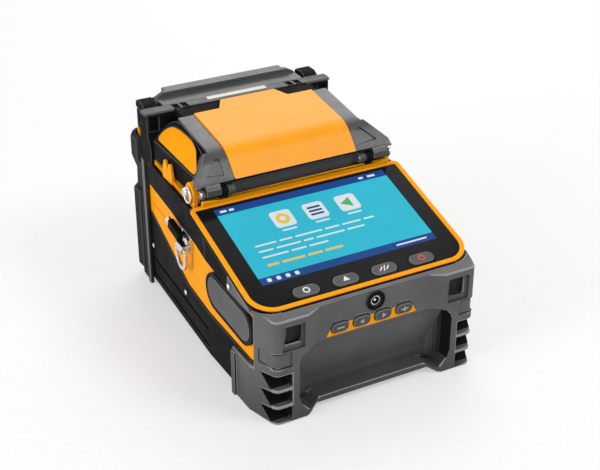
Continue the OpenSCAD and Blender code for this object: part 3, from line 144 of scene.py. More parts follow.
def colour_prop(name, description, rgb):
    """A colour that the panel shows."""
    return bpy.props.FloatVectorProperty(
        name=name, description=description, subtype="COLOR", size=3, min=0.0, max=1.0, default=rgb)


def length_prop(name, description, metres):
    """A length that the panel shows."""
    return bpy.props.FloatProperty(
        name=name, description=description, unit="LENGTH", min=0.0, precision=5, default=metres)


class SplicerFinish(bpy.types.PropertyGroup):
    """Colours of the finishes, in linear light."""

    orange: colour_prop("Orange", "Moulded shell, rims and cover panels", (0.9, 0.335, 0.006))
    black: colour_prop("Black", "Base case, bands and rear housing", (0.008, 0.008, 0.0085))
    charcoal: colour_prop("Charcoal", "Rubber of the bumpers", (0.097, 0.097, 0.098))
    arm_grey: colour_prop("Arm grey", "Cover arms, rear rail and heater lid", (0.042, 0.042, 0.043))
    bezel: colour_prop("Bezel", "Glossy plate around the screen", (0.007, 0.007, 0.007))
    key_grey: colour_prop("Key grey", "Rubber keys", (0.06, 0.06, 0.061))
    screen: colour_prop("Screen", "Lit background of the picture", (0.022, 0.5, 0.66))
    screen_bar: colour_prop(
        "Screen bar", "Upper and lower bars of the picture", (0.006, 0.06, 0.27))
    steel: colour_prop("Steel", "Pins, rings and screws", (0.72, 0.72, 0.74))


class SplicerSizes(bpy.types.PropertyGroup):
    """Sizes of the dressing, in metres."""

    soft_edge: length_prop("Soft edge", "Rounding of the bumpers' edges", 0.0009)
    moulded_edge: length_prop("Moulded edge", "Rounding of the hard mouldings' edges", 0.0005)
    metal_edge: length_prop("Metal edge", "Rounding of the steel pieces' edges", 0.0002)
    key_edge: length_prop("Key edge", "Rounding of the keys' edges", 0.0007)
    mark_height: length_prop("Mark height", "Height of the printed marks", 0.00005)
    bar_height: length_prop("Screen bar height", "Height of the picture's bars", 0.0052)
    rim_band: length_prop(
        "Rim band", "Orange height of the display's rim below the screen's face", 0.0003)


def colours():
    """The finishes' colours, as set in the scene."""
    return bpy.context.scene.splicer_finish


def sizes():
    """The dressing's sizes, as set in the scene."""
    return bpy.context.scene.splicer_sizes


# Materials

def shader(name):
    """A new material with its node tree, shader and Object coordinates."""
    material = bpy.data.materials.new(name)
    material.use_nodes = True
    nodes = material.node_tree.nodes
    bsdf = nodes["Principled BSDF"]
    coords = nodes.new("ShaderNodeTexCoord")
    return material, material.node_tree, bsdf, coords


def noise(tree, coords, scale, detail=4.0, rough=0.55):
    """A cloud texture in Object coordinates."""
    node = tree.nodes.new("ShaderNodeTexNoise")
    node.inputs["Scale"].default_value = scale
    node.inputs["Detail"].default_value = detail
    node.inputs["Roughness"].default_value = rough
    tree.links.new(coords.outputs["Object"], node.inputs["Vector"])
    return node


def ramp(tree, source, low, high):
    """A colour ramp between two tones, driven by a texture's value."""
    node = tree.nodes.new("ShaderNodeValToRGB")
    dark, light = node.color_ramp.elements
    dark.position, light.position = 0.35, 0.65
    dark.color, light.color = (*low, 1.0), (*high, 1.0)
    tree.links.new(source, node.inputs["Fac"])
    return node


def map_range(tree, source, start, end, low, high):
    """A value taken from one range to another."""
    node = tree.nodes.new("ShaderNodeMapRange")
    node.inputs["From Min"].default_value = start
    node.inputs["From Max"].default_value = end
    node.inputs["To Min"].default_value = low
    node.inputs["To Max"].default_value = high
    tree.links.new(source, node.inputs["Value"])
    return node


def spread(tree, source, low, high):
    """The middle of a texture's values, stretched to a range."""
    return map_range(tree, source, 0.3, 0.7, low, high)


def grain(tree, bsdf, height, strength, distance):
    """A fine relief on the surface."""
    bump = tree.nodes.new("ShaderNodeBump")
    bump.inputs["Strength"].default_value = strength
    bump.inputs["Distance"].default_value = distance
    tree.links.new(height, bump.inputs["Height"])
    tree.links.new(bump.outputs["Normal"], bsdf.inputs["Normal"])


def shade(rgb, factor):
    """A colour made darker or lighter."""
    return tuple(min(1.0, c * factor) for c in rgb)


def mixed(tree, factor, base, rgb):
    """A colour taken towards another one by a factor."""
    mix = tree.nodes.new("ShaderNodeMix")
    mix.data_type = "RGBA"
    mix.inputs["B"].default_value = (*rgb, 1.0)
    tree.links.new(factor, mix.inputs["Factor"])
    tree.links.new(base, mix.inputs["A"])
    return mix.outputs["Result"]


def scaled_mark(tree, attribute, factor, offset=0.0):
    """A mark that the mesh's faces carry, times a factor and raised by an offset."""
    mark = tree.nodes.new("ShaderNodeAttribute")
    mark.attribute_name = attribute
    scale = tree.nodes.new("ShaderNodeMath")
    scale.operation = "MULTIPLY_ADD"
    scale.inputs[1].default_value = factor
    scale.inputs[2].default_value = offset
    tree.links.new(mark.outputs["Fac"], scale.inputs[0])
    return scale.outputs["Value"]


def wear_highlight_and_shade(tree, base, rgb, amount):
    """Lightens the rounded edges, partly as wear and partly as a painted highlight, and darkens the
    narrow recesses with painted shade.
    """
    recess = scaled_mark(tree, "painted_recess_shade", RECESS_COVER)
    edge = scaled_mark(tree, "worn_and_highlit_edge", amount)
    return mixed(tree, edge, mixed(tree, recess, base, shade(rgb, RECESS_TONE)), rgb)


def moulded_plastic(name, rgb, rough=(0.34, 0.46), grit=900.0, bump=0.25, coat=0.0,
                    edge=1.5, edge_wear_and_highlight=0.5, vary=0.06, gloss=0.3):
    """Injection-moulded plastic: cloudy tone, spark-eroded grain, edges lightened partly as rubbed
    wear and partly as a painted highlight, and painted shade in narrow recesses.
    """
    material, tree, bsdf, coords = shader(name)
    cloud = noise(tree, coords, 38.0, 5.0)
    tone = ramp(tree, cloud.outputs["Fac"], shade(rgb, 1.0 - vary), shade(rgb, 1.0 + vary))
    fine = noise(tree, coords, grit, 3.0, 0.6)
    sheen = spread(tree, noise(tree, coords, 120.0, 6.0).outputs["Fac"], *rough)
    colour = wear_highlight_and_shade(tree, tone.outputs["Color"], shade(rgb, edge), edge_wear_and_highlight)
    tree.links.new(colour, bsdf.inputs["Base Color"])
    tree.links.new(sheen.outputs["Result"], bsdf.inputs["Roughness"])
    grain(tree, bsdf, fine.outputs["Fac"], bump, 0.00012)
    bsdf.inputs["Specular IOR Level"].default_value = gloss
    bsdf.inputs["Coat Weight"].default_value = coat
    bsdf.inputs["Coat Roughness"].default_value = 0.25
    return material


def painted_low_shade(tree, coords, base, rgb):
    """Darkens a tone towards the ground: painted shade on the lower parts."""
    axes = tree.nodes.new("ShaderNodeSeparateXYZ")
    tree.links.new(coords.outputs["Object"], axes.inputs["Vector"])
    low_shade_height = 32.0 * MM
    depth = map_range(tree, axes.outputs["Z"], 0.0, low_shade_height, 0.6, 0.0)
    return mixed(tree, depth.outputs["Result"], base, rgb)


def soft_rubber(name, rgb, gloss=0.2):
    """Bumper rubber: matte, with a pebbled skin, pale edges that are partly rubbed and partly a
    painted highlight, painted shade towards the ground and in narrow recesses, and less reflection
    in those recesses.
    """
    material, tree, bsdf, coords = shader(name)
    cloud = noise(tree, coords, 24.0, 6.0)
    tone = ramp(tree, cloud.outputs["Fac"], shade(rgb, 0.86), shade(rgb, 1.14))
    pebble = tree.nodes.new("ShaderNodeTexVoronoi")
    pebble.inputs["Scale"].default_value = 1400.0
    tree.links.new(coords.outputs["Object"], pebble.inputs["Vector"])
    sheen = spread(tree, noise(tree, coords, 90.0, 5.0).outputs["Fac"], 0.48, 0.66)
    # Painted shade, darker towards the ground
    low_shaded_tone = painted_low_shade(tree, coords, tone.outputs["Color"], shade(rgb, 0.35))
    colour = wear_highlight_and_shade(tree, low_shaded_tone, shade(rgb, 3.2), 0.75)
    # Less reflection where the painted recess shade lies
    shine = scaled_mark(tree, "painted_recess_shade", -gloss, gloss)
    tree.links.new(colour, bsdf.inputs["Base Color"])
    tree.links.new(sheen.outputs["Result"], bsdf.inputs["Roughness"])
    tree.links.new(shine, bsdf.inputs["Specular IOR Level"])
    grain(tree, bsdf, pebble.outputs["Distance"], 0.3, 0.0001)
    return material


def bright_metal(name, rgb, rough=(0.12, 0.28), streak=(1.0, 1.0, 1.0)):
    """Plated or machined metal with fine lines and small stains."""
    material, tree, bsdf, coords = shader(name)
    mapping = tree.nodes.new("ShaderNodeMapping")
    mapping.inputs["Scale"].default_value = streak
    tree.links.new(coords.outputs["Object"], mapping.inputs["Vector"])
    lines = noise(tree, coords, 700.0, 4.0)
    tree.links.new(mapping.outputs["Vector"], lines.inputs["Vector"])
    stain = noise(tree, coords, 260.0, 5.0)
    tone = ramp(tree, stain.outputs["Fac"], shade(rgb, 0.82), shade(rgb, 1.08))
    sheen = spread(tree, lines.outputs["Fac"], *rough)
    tree.links.new(tone.outputs["Color"], bsdf.inputs["Base Color"])
    tree.links.new(sheen.outputs["Result"], bsdf.inputs["Roughness"])
    grain(tree, bsdf, lines.outputs["Fac"], 0.12, 0.00005)
    bsdf.inputs["Metallic"].default_value = 1.0
    return material


def lit_picture(name, rgb, strength):
    """A patch of the lit picture, with the panel's fine dot pattern."""
    material, tree, bsdf, coords = shader(name)
    cells = tree.nodes.new("ShaderNodeTexVoronoi")
    cells.inputs["Scale"].default_value = 2600.0
    tree.links.new(coords.outputs["Object"], cells.inputs["Vector"])
    glow = noise(tree, coords, 14.0, 2.0)
    tone = ramp(tree, glow.outputs["Fac"], shade(rgb, 0.95), shade(rgb, 1.05))
    sheen = spread(tree, cells.outputs["Distance"], 0.24, 0.3)
    tree.links.new(tone.outputs["Color"], bsdf.inputs["Emission Color"])
    bsdf.inputs["Base Color"].default_value = (0.01, 0.012, 0.014, 1.0)
    bsdf.inputs["Specular IOR Level"].default_value = 0.02
    tree.links.new(sheen.outputs["Result"], bsdf.inputs["Roughness"])
    bsdf.inputs["Emission Strength"].default_value = strength
    return material


def printed(name, rgb):
    """Thin printed paint with a slightly uneven edge of tone."""
    material, tree, bsdf, coords = shader(name)
    speck = noise(tree, coords, 1800.0, 2.0)
    tone = ramp(tree, speck.outputs["Fac"], shade(rgb, 0.9), rgb)
    sheen = spread(tree, speck.outputs["Fac"], 0.42, 0.55)
    tree.links.new(tone.outputs["Color"], bsdf.inputs["Base Color"])
    tree.links.new(sheen.outputs["Result"], bsdf.inputs["Roughness"])
    return material


def circuit_board(name):
    """Green lacquer over copper runs."""
    material, tree, bsdf, coords = shader(name)
    runs = tree.nodes.new("ShaderNodeTexBrick")
    runs.inputs["Scale"].default_value = 160.0
    runs.inputs["Mortar Size"].default_value = 0.03
    runs.inputs["Color1"].default_value = (0.012, 0.09, 0.03, 1.0)
    runs.inputs["Color2"].default_value = (0.016, 0.11, 0.04, 1.0)
    runs.inputs["Mortar"].default_value = (0.05, 0.2, 0.06, 1.0)
    tree.links.new(coords.outputs["Object"], runs.inputs["Vector"])
    tree.links.new(runs.outputs["Color"], bsdf.inputs["Base Color"])
    sheen = spread(tree, noise(tree, coords, 200.0).outputs["Fac"], 0.25, 0.4)
    tree.links.new(sheen.outputs["Result"], bsdf.inputs["Roughness"])
    return material


FINISHES = {}


def make_finishes():
    """Every finish of the object, by name."""
    chosen = colours()
    orange, black, charcoal = tuple(chosen.orange), tuple(chosen.black), tuple(chosen.charcoal)
    arm_grey, key_grey = tuple(chosen.arm_grey), tuple(chosen.key_grey)
    # Each finish's edge factor lightens its rounded edges, partly as wear and partly as painted
    # highlight
    FINISHES.update(
        orange=moulded_plastic("moulded_orange", orange, (0.36, 0.48), grit=1100.0, bump=0.12,
                               edge=1.15, vary=0.03, gloss=0.03),
        lid=moulded_plastic("lid_orange", orange, (0.34, 0.44), grit=1100.0, bump=0.1, coat=0.06,
                            edge=1.15, vary=0.03, gloss=0.14),
        black=moulded_plastic("satin_black", black, (0.42, 0.56), bump=0.3,
                              edge=9.0, edge_wear_and_highlight=0.8, vary=0.15, gloss=0.016),
        charcoal=soft_rubber("bumper_rubber", charcoal),
        dark_rubber=soft_rubber("guard_rubber", shade(charcoal, 0.22), 0.03),
        grey=moulded_plastic("arm_grey", arm_grey, (0.3, 0.42), grit=1000.0, bump=0.3,
                             edge=4.0, edge_wear_and_highlight=0.7, vary=0.07, gloss=0.4),
        rail=moulded_plastic("rail_grey", shade(arm_grey, 0.6), grit=1000.0, bump=0.3,
                             edge=4.0, edge_wear_and_highlight=0.7, vary=0.07),
        bezel=moulded_plastic("bezel_gloss", tuple(chosen.bezel), (0.12, 0.2), grit=700.0,
                              bump=0.03, edge=2.0, vary=0.1, gloss=0.035),
        key=moulded_plastic("key_rubber", key_grey, (0.45, 0.6), grit=1300.0, bump=0.3,
                            edge=2.4, edge_wear_and_highlight=0.7, vary=0.08, gloss=0.25),
        pad=soft_rubber("grip_rubber", shade(key_grey, 1.55), 0.1),
        steel=bright_metal("bright_steel", tuple(chosen.steel)),
        alloy=bright_metal("satin_alloy", (0.5, 0.51, 0.53), (0.3, 0.48), (1.0, 12.0, 12.0)),
        dark_alloy=bright_metal("anodised_alloy", (0.05, 0.055, 0.065), (0.32, 0.46),
                                (12.0, 1.0, 12.0)),
        ceramic=moulded_plastic("white_ceramic", (0.78, 0.77, 0.73), (0.22, 0.34), grit=1500.0,
                                bump=0.08, coat=0.2, edge=1.1, edge_wear_and_highlight=0.3, vary=0.02),
        lamp=lit_picture("light_strip", (0.93, 0.9, 0.8), 0.85),
        screen=lit_picture("screen_cyan", tuple(chosen.screen), 0.95),
        bar=lit_picture("screen_navy", tuple(chosen.screen_bar), 0.9),
        pale=lit_picture("screen_white", (0.78, 0.86, 0.88), 0.9),
        sun=lit_picture("screen_amber", (0.86, 0.6, 0.1), 0.9),
        leaf=lit_picture("screen_green", (0.1, 0.46, 0.18), 0.9),
        mark=printed("white_print", (0.72, 0.72, 0.72)),
        soft_mark=printed("grey_print", (0.34, 0.34, 0.34)),
        red=printed("red_print", (0.6, 0.03, 0.03)),
        board=circuit_board("circuit_green"),
        epoxy=moulded_plastic("potting_resin", (0.42, 0.3, 0.04), (0.25, 0.4), grit=500.0, bump=0.2,
                              coat=0.1, edge=1.2, edge_wear_and_highlight=0.3, vary=0.1),
        wrap=moulded_plastic("battery_wrap", (0.02, 0.05, 0.2), (0.28, 0.4), grit=400.0, bump=0.15,
                             coat=0.1, edge=1.6, edge_wear_and_highlight=0.4, vary=0.08),
        gap=moulded_plastic("deep_black", (0.004, 0.004, 0.004), (0.6, 0.75), grit=700.0, bump=0.2,
                            edge_wear_and_highlight=0.2, vary=0.1),
    )


# Mesh helpers

def new_piece(name, bm, body, slot, *finishes):
    """An object at the origin from a bmesh, smooth between its sharp edges, riding on a body."""
    mesh = bpy.data.meshes.new(name)
    bm.to_mesh(mesh)
    bm.free()
    for key in finishes:
        mesh.materials.append(FINISHES[key])
    mesh.polygons.foreach_set("use_smooth", [True] * len(mesh.polygons))
    mesh.set_sharp_from_angle(angle=SHARP_ANGLE)
    obj = bpy.data.objects.new(name, mesh)
    bpy.context.scene.collection.objects.link(obj)
    weigh = obj.modifiers.new("flat_faces", "WEIGHTED_NORMAL")
    weigh.keep_sharp = True
    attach(obj, body)
    return obj


def record_slot(node):
    """The record's material slot of a solid."""
    return next(s["material_slot"] for s in frame["record"]["subparts"] if s["node"] == node)


def solid_copy(node):
    """A bmesh copy of a solid, with its triangles merged into plane faces."""
    bm = bmesh.new()
    bm.from_mesh(NODES[node].data)
    bmesh.ops.remove_doubles(bm, verts=bm.verts, dist=MERGE_DISTANCE)
    bmesh.ops.dissolve_limit(bm, angle_limit=PLANE_ANGLE, verts=bm.verts, edges=bm.edges)
    return bm


def has_room(edge, radius):
    """Whether the edges that meet an edge's ends are long enough for its rounding."""
    for vert in edge.verts:
        way = (edge.other_vert(vert).co - vert.co).normalized()
        for other in vert.link_edges:
            if other is edge:
                continue
            side = (other.other_vert(vert).co - vert.co).normalized()
            cosine = way.dot(side)
            if cosine < RUNS_ON:
                continue
            if cosine > FOLDS_BACK:
                return False
            reach = radius / max(LEAST_SINE, math.sqrt(max(0.0, 1.0 - cosine * cosine)))
            if other.calc_length() < reach * ROOM_FOR_ROUNDING:
                return False
    return True


def mark_recesses(bm):
    """Marks the faces that look into a narrow recess for painted shade, by how much of their view
    is blocked.
    """
    deep = bm.faces.layers.float.new("painted_recess_shade")
    tree = BVHTree.FromBMesh(bm)
    rays = sum(count for lean, count in RECESS_RAYS)
    for face in bm.faces:
        normal = face.normal
        side = normal.orthogonal().normalized()
        across = normal.cross(side)
        start = face.calc_center_median() + normal * RECESS_LIFT
        blocked = 0
        for lean, count in RECESS_RAYS:
            up, out = math.cos(math.radians(lean)), math.sin(math.radians(lean))
            for i in range(count):
                turn = 2.0 * math.pi * i / count
                flat = side * math.cos(turn) + across * math.sin(turn)
                if tree.ray_cast(start, normal * up + flat * out, RECESS_REACH)[0] is not None:
                    blocked += 1
        face[deep] = min(1.0, max(0.0, (blocked / rays - RECESS_START) / RECESS_RANGE))


def round_edges(bm, radius):
    """Rounds the sharp edges as far as their faces allow, and marks the new faces for wear and
    painted highlight.
    """
    edge_wear_and_highlight = bm.faces.layers.float.new("worn_and_highlit_edge")
    for share in ROUNDING_STEPS:
        sharp = [e for e in bm.edges if len(e.link_faces) == 2
                 and e.calc_face_angle(0.0) > ROUNDED_ANGLE
                 and not all(f[edge_wear_and_highlight] > 0.0 for f in e.link_faces)
                 and has_room(e, radius * share)]
        if not sharp:
            continue
        made = bmesh.ops.bevel(
            bm, geom=sharp, offset=radius * share, offset_type="OFFSET", affect="EDGES",
            segments=ROUNDING_SEGMENTS, profile=0.5, material=-1,
            clamp_overlap=False, loop_slide=True)
        for face in made["faces"]:
            outward = sum(e.calc_face_angle_signed(0.0) for e in face.edges)
            face[edge_wear_and_highlight] = FULL_EDGE_WEAR_AND_HIGHLIGHT if outward > 0.0 else NO_EDGE_WEAR_AND_HIGHLIGHT


def stand_for(node, bm, *finishes):
    """The finished piece that takes a solid's place, on its body."""
    obj = new_piece(node + "_finished", bm, body_of_node(node), record_slot(node), *finishes)
    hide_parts(node)


def dress(nodes, key, radius):
    """Finished pieces in one finish, with the solids' shapes and rounded edges."""
    for node in nodes.split():
        bm = solid_copy(node)
        if radius > 0.0:
            round_edges(bm, radius)
        stand_for(node, bm, key)


def plate(bm, matrix, width, depth, thick, index, rounding=0.0):
    """A thin rounded plate, centred on the matrix, rising from its plane."""
    made = bmesh.ops.create_grid(bm, x_segments=1, y_segments=1, size=0.5)
    verts = made["verts"]
    bmesh.ops.scale(bm, vec=(width, depth, 1.0), verts=verts)
    if rounding > 0.0:
        corners = bmesh.ops.bevel(
            bm, geom=verts, offset=rounding, affect="VERTICES", segments=4,
            profile=0.5, material=-1)
        verts = corners["verts"]
    lift(bm, verts, matrix, thick, index)


def disc(bm, matrix, radius, thick, index, hole=0.0, sides=32):
    """A thin disc, or a ring where it has a hole."""
    made = bmesh.ops.create_circle(bm, cap_ends=True, cap_tris=False, segments=sides, radius=radius)
    verts = made["verts"]
    if hole > 0.0:
        face = verts[0].link_faces[0]
        width = (radius - hole) * math.cos(math.pi / sides)
        bmesh.ops.inset_individual(bm, faces=[face], thickness=width)
        inner = list(face.verts)
        bmesh.ops.delete(bm, geom=[face], context="FACES_ONLY")
        verts = list(verts) + inner
    lift(bm, verts, matrix, thick, index)


def wedge(bm, matrix, radius, thick, index, turn=0.0):
    """A thin triangle."""
    made = bmesh.ops.create_circle(bm, cap_ends=True, cap_tris=False, segments=3, radius=radius)
    bmesh.ops.rotate(bm, cent=(0, 0, 0), matrix=Matrix.Rotation(turn, 3, "Z"), verts=made["verts"])
    lift(bm, made["verts"], matrix, thick, index)


def lift(bm, verts, matrix, thick, index):
    """Gives a flat shape its thickness and puts it in place."""
    faces = list({f for v in verts for f in v.link_faces})
    raised = bmesh.ops.extrude_face_region(bm, geom=faces)
    top = [g for g in raised["geom"] if isinstance(g, bmesh.types.BMVert)]
    bmesh.ops.translate(bm, vec=(0, 0, thick), verts=top)
    every = list({v for v in verts if v.is_valid} | set(top))
    shell = list({f for v in every for f in v.link_faces})
    bmesh.ops.recalc_face_normals(bm, faces=shell)
    for face in shell:
        face.material_index = index
    bmesh.ops.transform(bm, matrix=matrix, verts=every)


# The display's own plane: X to the right, Y towards the hinge, Z out of the screen

def display_plane():
    """Matrix of the lit panel's top face, with its origin at the face's middle."""
    press = Vector(joint("screen_key_1_press")["axis"])
    out = -press.normalized()
    across = Vector((1.0, 0.0, 0.0))
    up = out.cross(across)
    points = [v.co for v in NODES["lcd_panel"].data.vertices]
    wide = [p.x for p in points]
    along = [p.dot(up) for p in points]
    middle_x, middle_y = ((min(reach) + max(reach)) / 2 for reach in (wide, along))
    centre = across * middle_x + up * middle_y + out * max(p.dot(out) for p in points)
    turn = Matrix((across, up, out)).transposed().to_4x4()
    return Matrix.Translation(centre) @ turn


class SPLICER_OT_case(bpy.types.Operator):
    """Dresses the base case, the orange body and the pieces fixed to them."""

    bl_idname = "splicer.case"
    bl_label = "Case mouldings"

    def execute(self, context):
        edge = sizes().moulded_edge
        dress("body_shell", "orange", edge)
        dress("lower_case side_band_left side_band_right rear_vent", "black", edge)
        dress("battery_door", "key", edge)
        dress("feet", "charcoal", sizes().soft_edge)
        dress("power_jack", "black", edge)
        self.jack_contacts()
        return {"FINISHED"}

    def jack_contacts(self):
        """The plated sleeve and the centre pin inside the power jack."""
        low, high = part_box("power_jack")
        face = Matrix.Translation(((low.x + high.x) / 2, low.y, (low.z + high.z) / 2))
        face = face @ Matrix.Rotation(math.radians(90), 4, "X")
        sleeve_radius, sleeve_bore, sleeve_length = 2.75 * MM, 2.3 * MM, 2.6 * MM
        pin_radius, pin_length = 0.8 * MM, 5.8 * MM
        sleeve, pin = (face @ Matrix.Translation((0, 0, -deep * MM)) for deep in (3.2, 7.0))
        bm = bmesh.new()
        disc(bm, sleeve, sleeve_radius, sleeve_length, 0, hole=sleeve_bore, sides=48)
        disc(bm, pin, pin_radius, pin_length, 0)
        new_piece("jack_contacts", bm, body_of_node("power_jack"), "steel", "steel")


class SPLICER_OT_bumpers(bpy.types.Operator):
    """Dresses the corner bumpers and the grip pads."""

    bl_idname = "splicer.bumpers"
    bl_label = "Bumpers and grip pads"

    def execute(self, context):
        edge = sizes().soft_edge
        self.front(edge)
        self.guard("rear_bumper_left", -1.0, edge)
        self.guard("rear_bumper_right", 1.0, edge)
        self.pads(edge * 0.3)
        return {"FINISHED"}

    def front(self, edge):
        """The front bumper, with painted shade in its narrow recesses and on the end walls of its
        hand scoop.
        """
        bm = solid_copy("front_bumper")
        mark_recesses(bm)
        self.shade_scoop_ends(bm)
        round_edges(bm, edge)
        stand_for("front_bumper", bm, "charcoal")

    def shade_scoop_ends(self, bm):
        """Paints shade on the scoop's end walls, the more they face its middle."""
        deep = bm.faces.layers.float["painted_recess_shade"]
        openings = frame["record"]["physics"]["openings"]
        boxes = [o["box_m"] for o in openings if o["name"].startswith("front_scoop")]
        margin = 5.0 * MM
        low = [min(box[0][i] for box in boxes) - margin for i in range(3)]
        high = [max(box[1][i] for box in boxes) + margin for i in range(3)]
        start, span = 0.5, 0.4
        for face in bm.faces:
            middle = face.calc_center_median()
            if all(low[i] < middle[i] < high[i] for i in range(3)):
                inward = -face.normal.x if middle.x > 0.0 else face.normal.x
                # Painted shade on the end walls
                face[deep] = max(face[deep], min(1.0, (inward - start) / span))

    def guard(self, node, side, edge):
        """A dark rear guard with a paler strip along its front edge, a painted highlight in the
        bumpers' lighter rubber.
        """
        bm = solid_copy(node)
        strip = 5.0 * MM
        strip_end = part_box(node)[0].y + strip
        # The paler strip is a painted highlight along the guard's front edge
        for face in bm.faces:
            on_highlight_strip = face.calc_center_median().y < strip_end and face.normal.x * side > 0.8
            face.material_index = 1 if on_highlight_strip else 0
        round_edges(bm, edge)
        stand_for(node, bm, "dark_rubber", "charcoal")

    def pads(self, edge):
        """Pads with a pale grip face inside a dark rim and groove."""
        bm = solid_copy("grip_pads")
        for side in (-1.0, 1.0):
            outer = [f for f in bm.faces
                     if f.normal.x * side > 0.9 and f.verts[0].co.x * side > 0.0]
            grip = max(outer, key=lambda f: f.calc_area())
            for face in bm.faces:
                if face is not grip and face.calc_center_median().x * side > 0.0:
                    face.material_index = 1
        round_edges(bm, edge)
        stand_for("grip_pads", bm, "pad", "gap")


class SPLICER_OT_display(bpy.types.Operator):
    """Dresses the display unit and lights its screen."""

    bl_idname = "splicer.display"
    bl_label = "Display unit"

    def execute(self, context):
        edge = sizes().moulded_edge
        self.rim(edge)
        dress("display_back", "black", edge)
        dress("display_bezel", "bezel", edge * 0.4)
        self.panel()
        self.picture()
        return {"FINISHED"}

    def rim(self, edge):
        """The frame, with an orange rim over a black skirt: partly the black of the display's lower
        shell, partly a painted shadow under the rim.
        """
        bm = solid_copy("display_frame")
        plane = display_plane()
        out = plane.col[2].to_3d()
        seam = plane.translation - out * sizes().rim_band
        every = [*bm.verts, *bm.edges, *bm.faces]
        bmesh.ops.bisect_plane(bm, geom=every, dist=0.001 * MM, plane_co=seam, plane_no=out)
        # Faces below the seam take the black skirt, partly a painted shadow under the rim
        for face in bm.faces:
            below = (face.calc_center_median() - seam).dot(out) < 0.0
            face.material_index = 1 if below else 0
        round_edges(bm, edge)
        stand_for("display_frame", bm, "orange", "black")

    def panel(self):
        """The lit panel, dark on every face but the one that shows."""
        bm = solid_copy("lcd_panel")
        out = display_plane().col[2].to_3d()
        for face in bm.faces:
            face.material_index = 0 if face.normal.dot(out) > 0.9 else 1
        stand_for("lcd_panel", bm, "screen", "gap")

    def picture(self):
        """A plain menu picture: bars, tiles and rows of short strokes, laid out in millimetres."""
        navy, pale, amber, green = range(4)
        low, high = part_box("lcd_panel")
        plane = display_plane()
        along = plane.col[1].to_3d()
        points = [v.co - plane.translation for v in NODES["lcd_panel"].data.vertices]
        top = max(p.dot(along) for p in points) / MM
        wide = (high.x - low.x) / MM
        bar = sizes().bar_height / MM
        upper, lower = top - bar / 2, -top + bar / 2
        thick = sizes().mark_height
        bm = bmesh.new()

        def at(x, y, level):
            return plane @ Matrix.Translation((x * MM, y * MM, level * thick))

        def patch(x, y, width, height, tone, rounding=0.3, level=0):
            plate(bm, at(x, y, level), width * MM, height * MM, thick, tone, rounding * MM)

        def strokes(y, height, tone, runs, left=-46.0, space=2.0):
            for run in runs:
                patch(left + run / 2, y, run, height, tone)
                left += run + space

        patch(0, upper, wide, bar, navy, 0.0)
        patch(0, lower, wide, bar, navy, 0.0)
        for i in range(4):
            patch(-50 + i * 5.6, lower, 2.6, 2.6, pale, 0.8, 1)
        for x, width in ((46, 5.0), (39, 3.0), (-50.5, 4.0), (-45.5, 3.0)):
            patch(x, upper, width, 1.6, pale, level=1)
        patch(40, lower, 20, 1.1, pale, level=1)

        tiles, tile_y = (-21, 0, 21), 12.5
        for x in tiles:
            patch(x, tile_y, 13, 13, pale, 2.2)
            patch(x, 3.6, 9, 1.2, pale)
        disc(bm, at(tiles[0], tile_y, 1), 4.2 * MM, thick, amber)
        disc(bm, at(tiles[0], tile_y, 2), 1.8 * MM, thick, pale)
        for y in (tile_y - 2.8, tile_y, tile_y + 2.8):
            patch(tiles[1], y, 8.4, 1.5, navy, 0.4, 1)
        wedge(bm, at(tiles[2], tile_y, 1), 4.6 * MM, thick, green, math.radians(90))

        strokes(-3.0, 1.15, pale, (13, 8, 17, 9, 12, 7))
        strokes(-7.6, 1.15, pale, (9, 15, 6, 18, 11))
        strokes(-12.2, 1.15, pale, (16, 9, 12))
        strokes(-18.4, 1.6, amber, (7, 14, 9, 11))
        new_piece("screen_picture", bm, "display", "screen", "bar", "pale", "sun", "leaf")


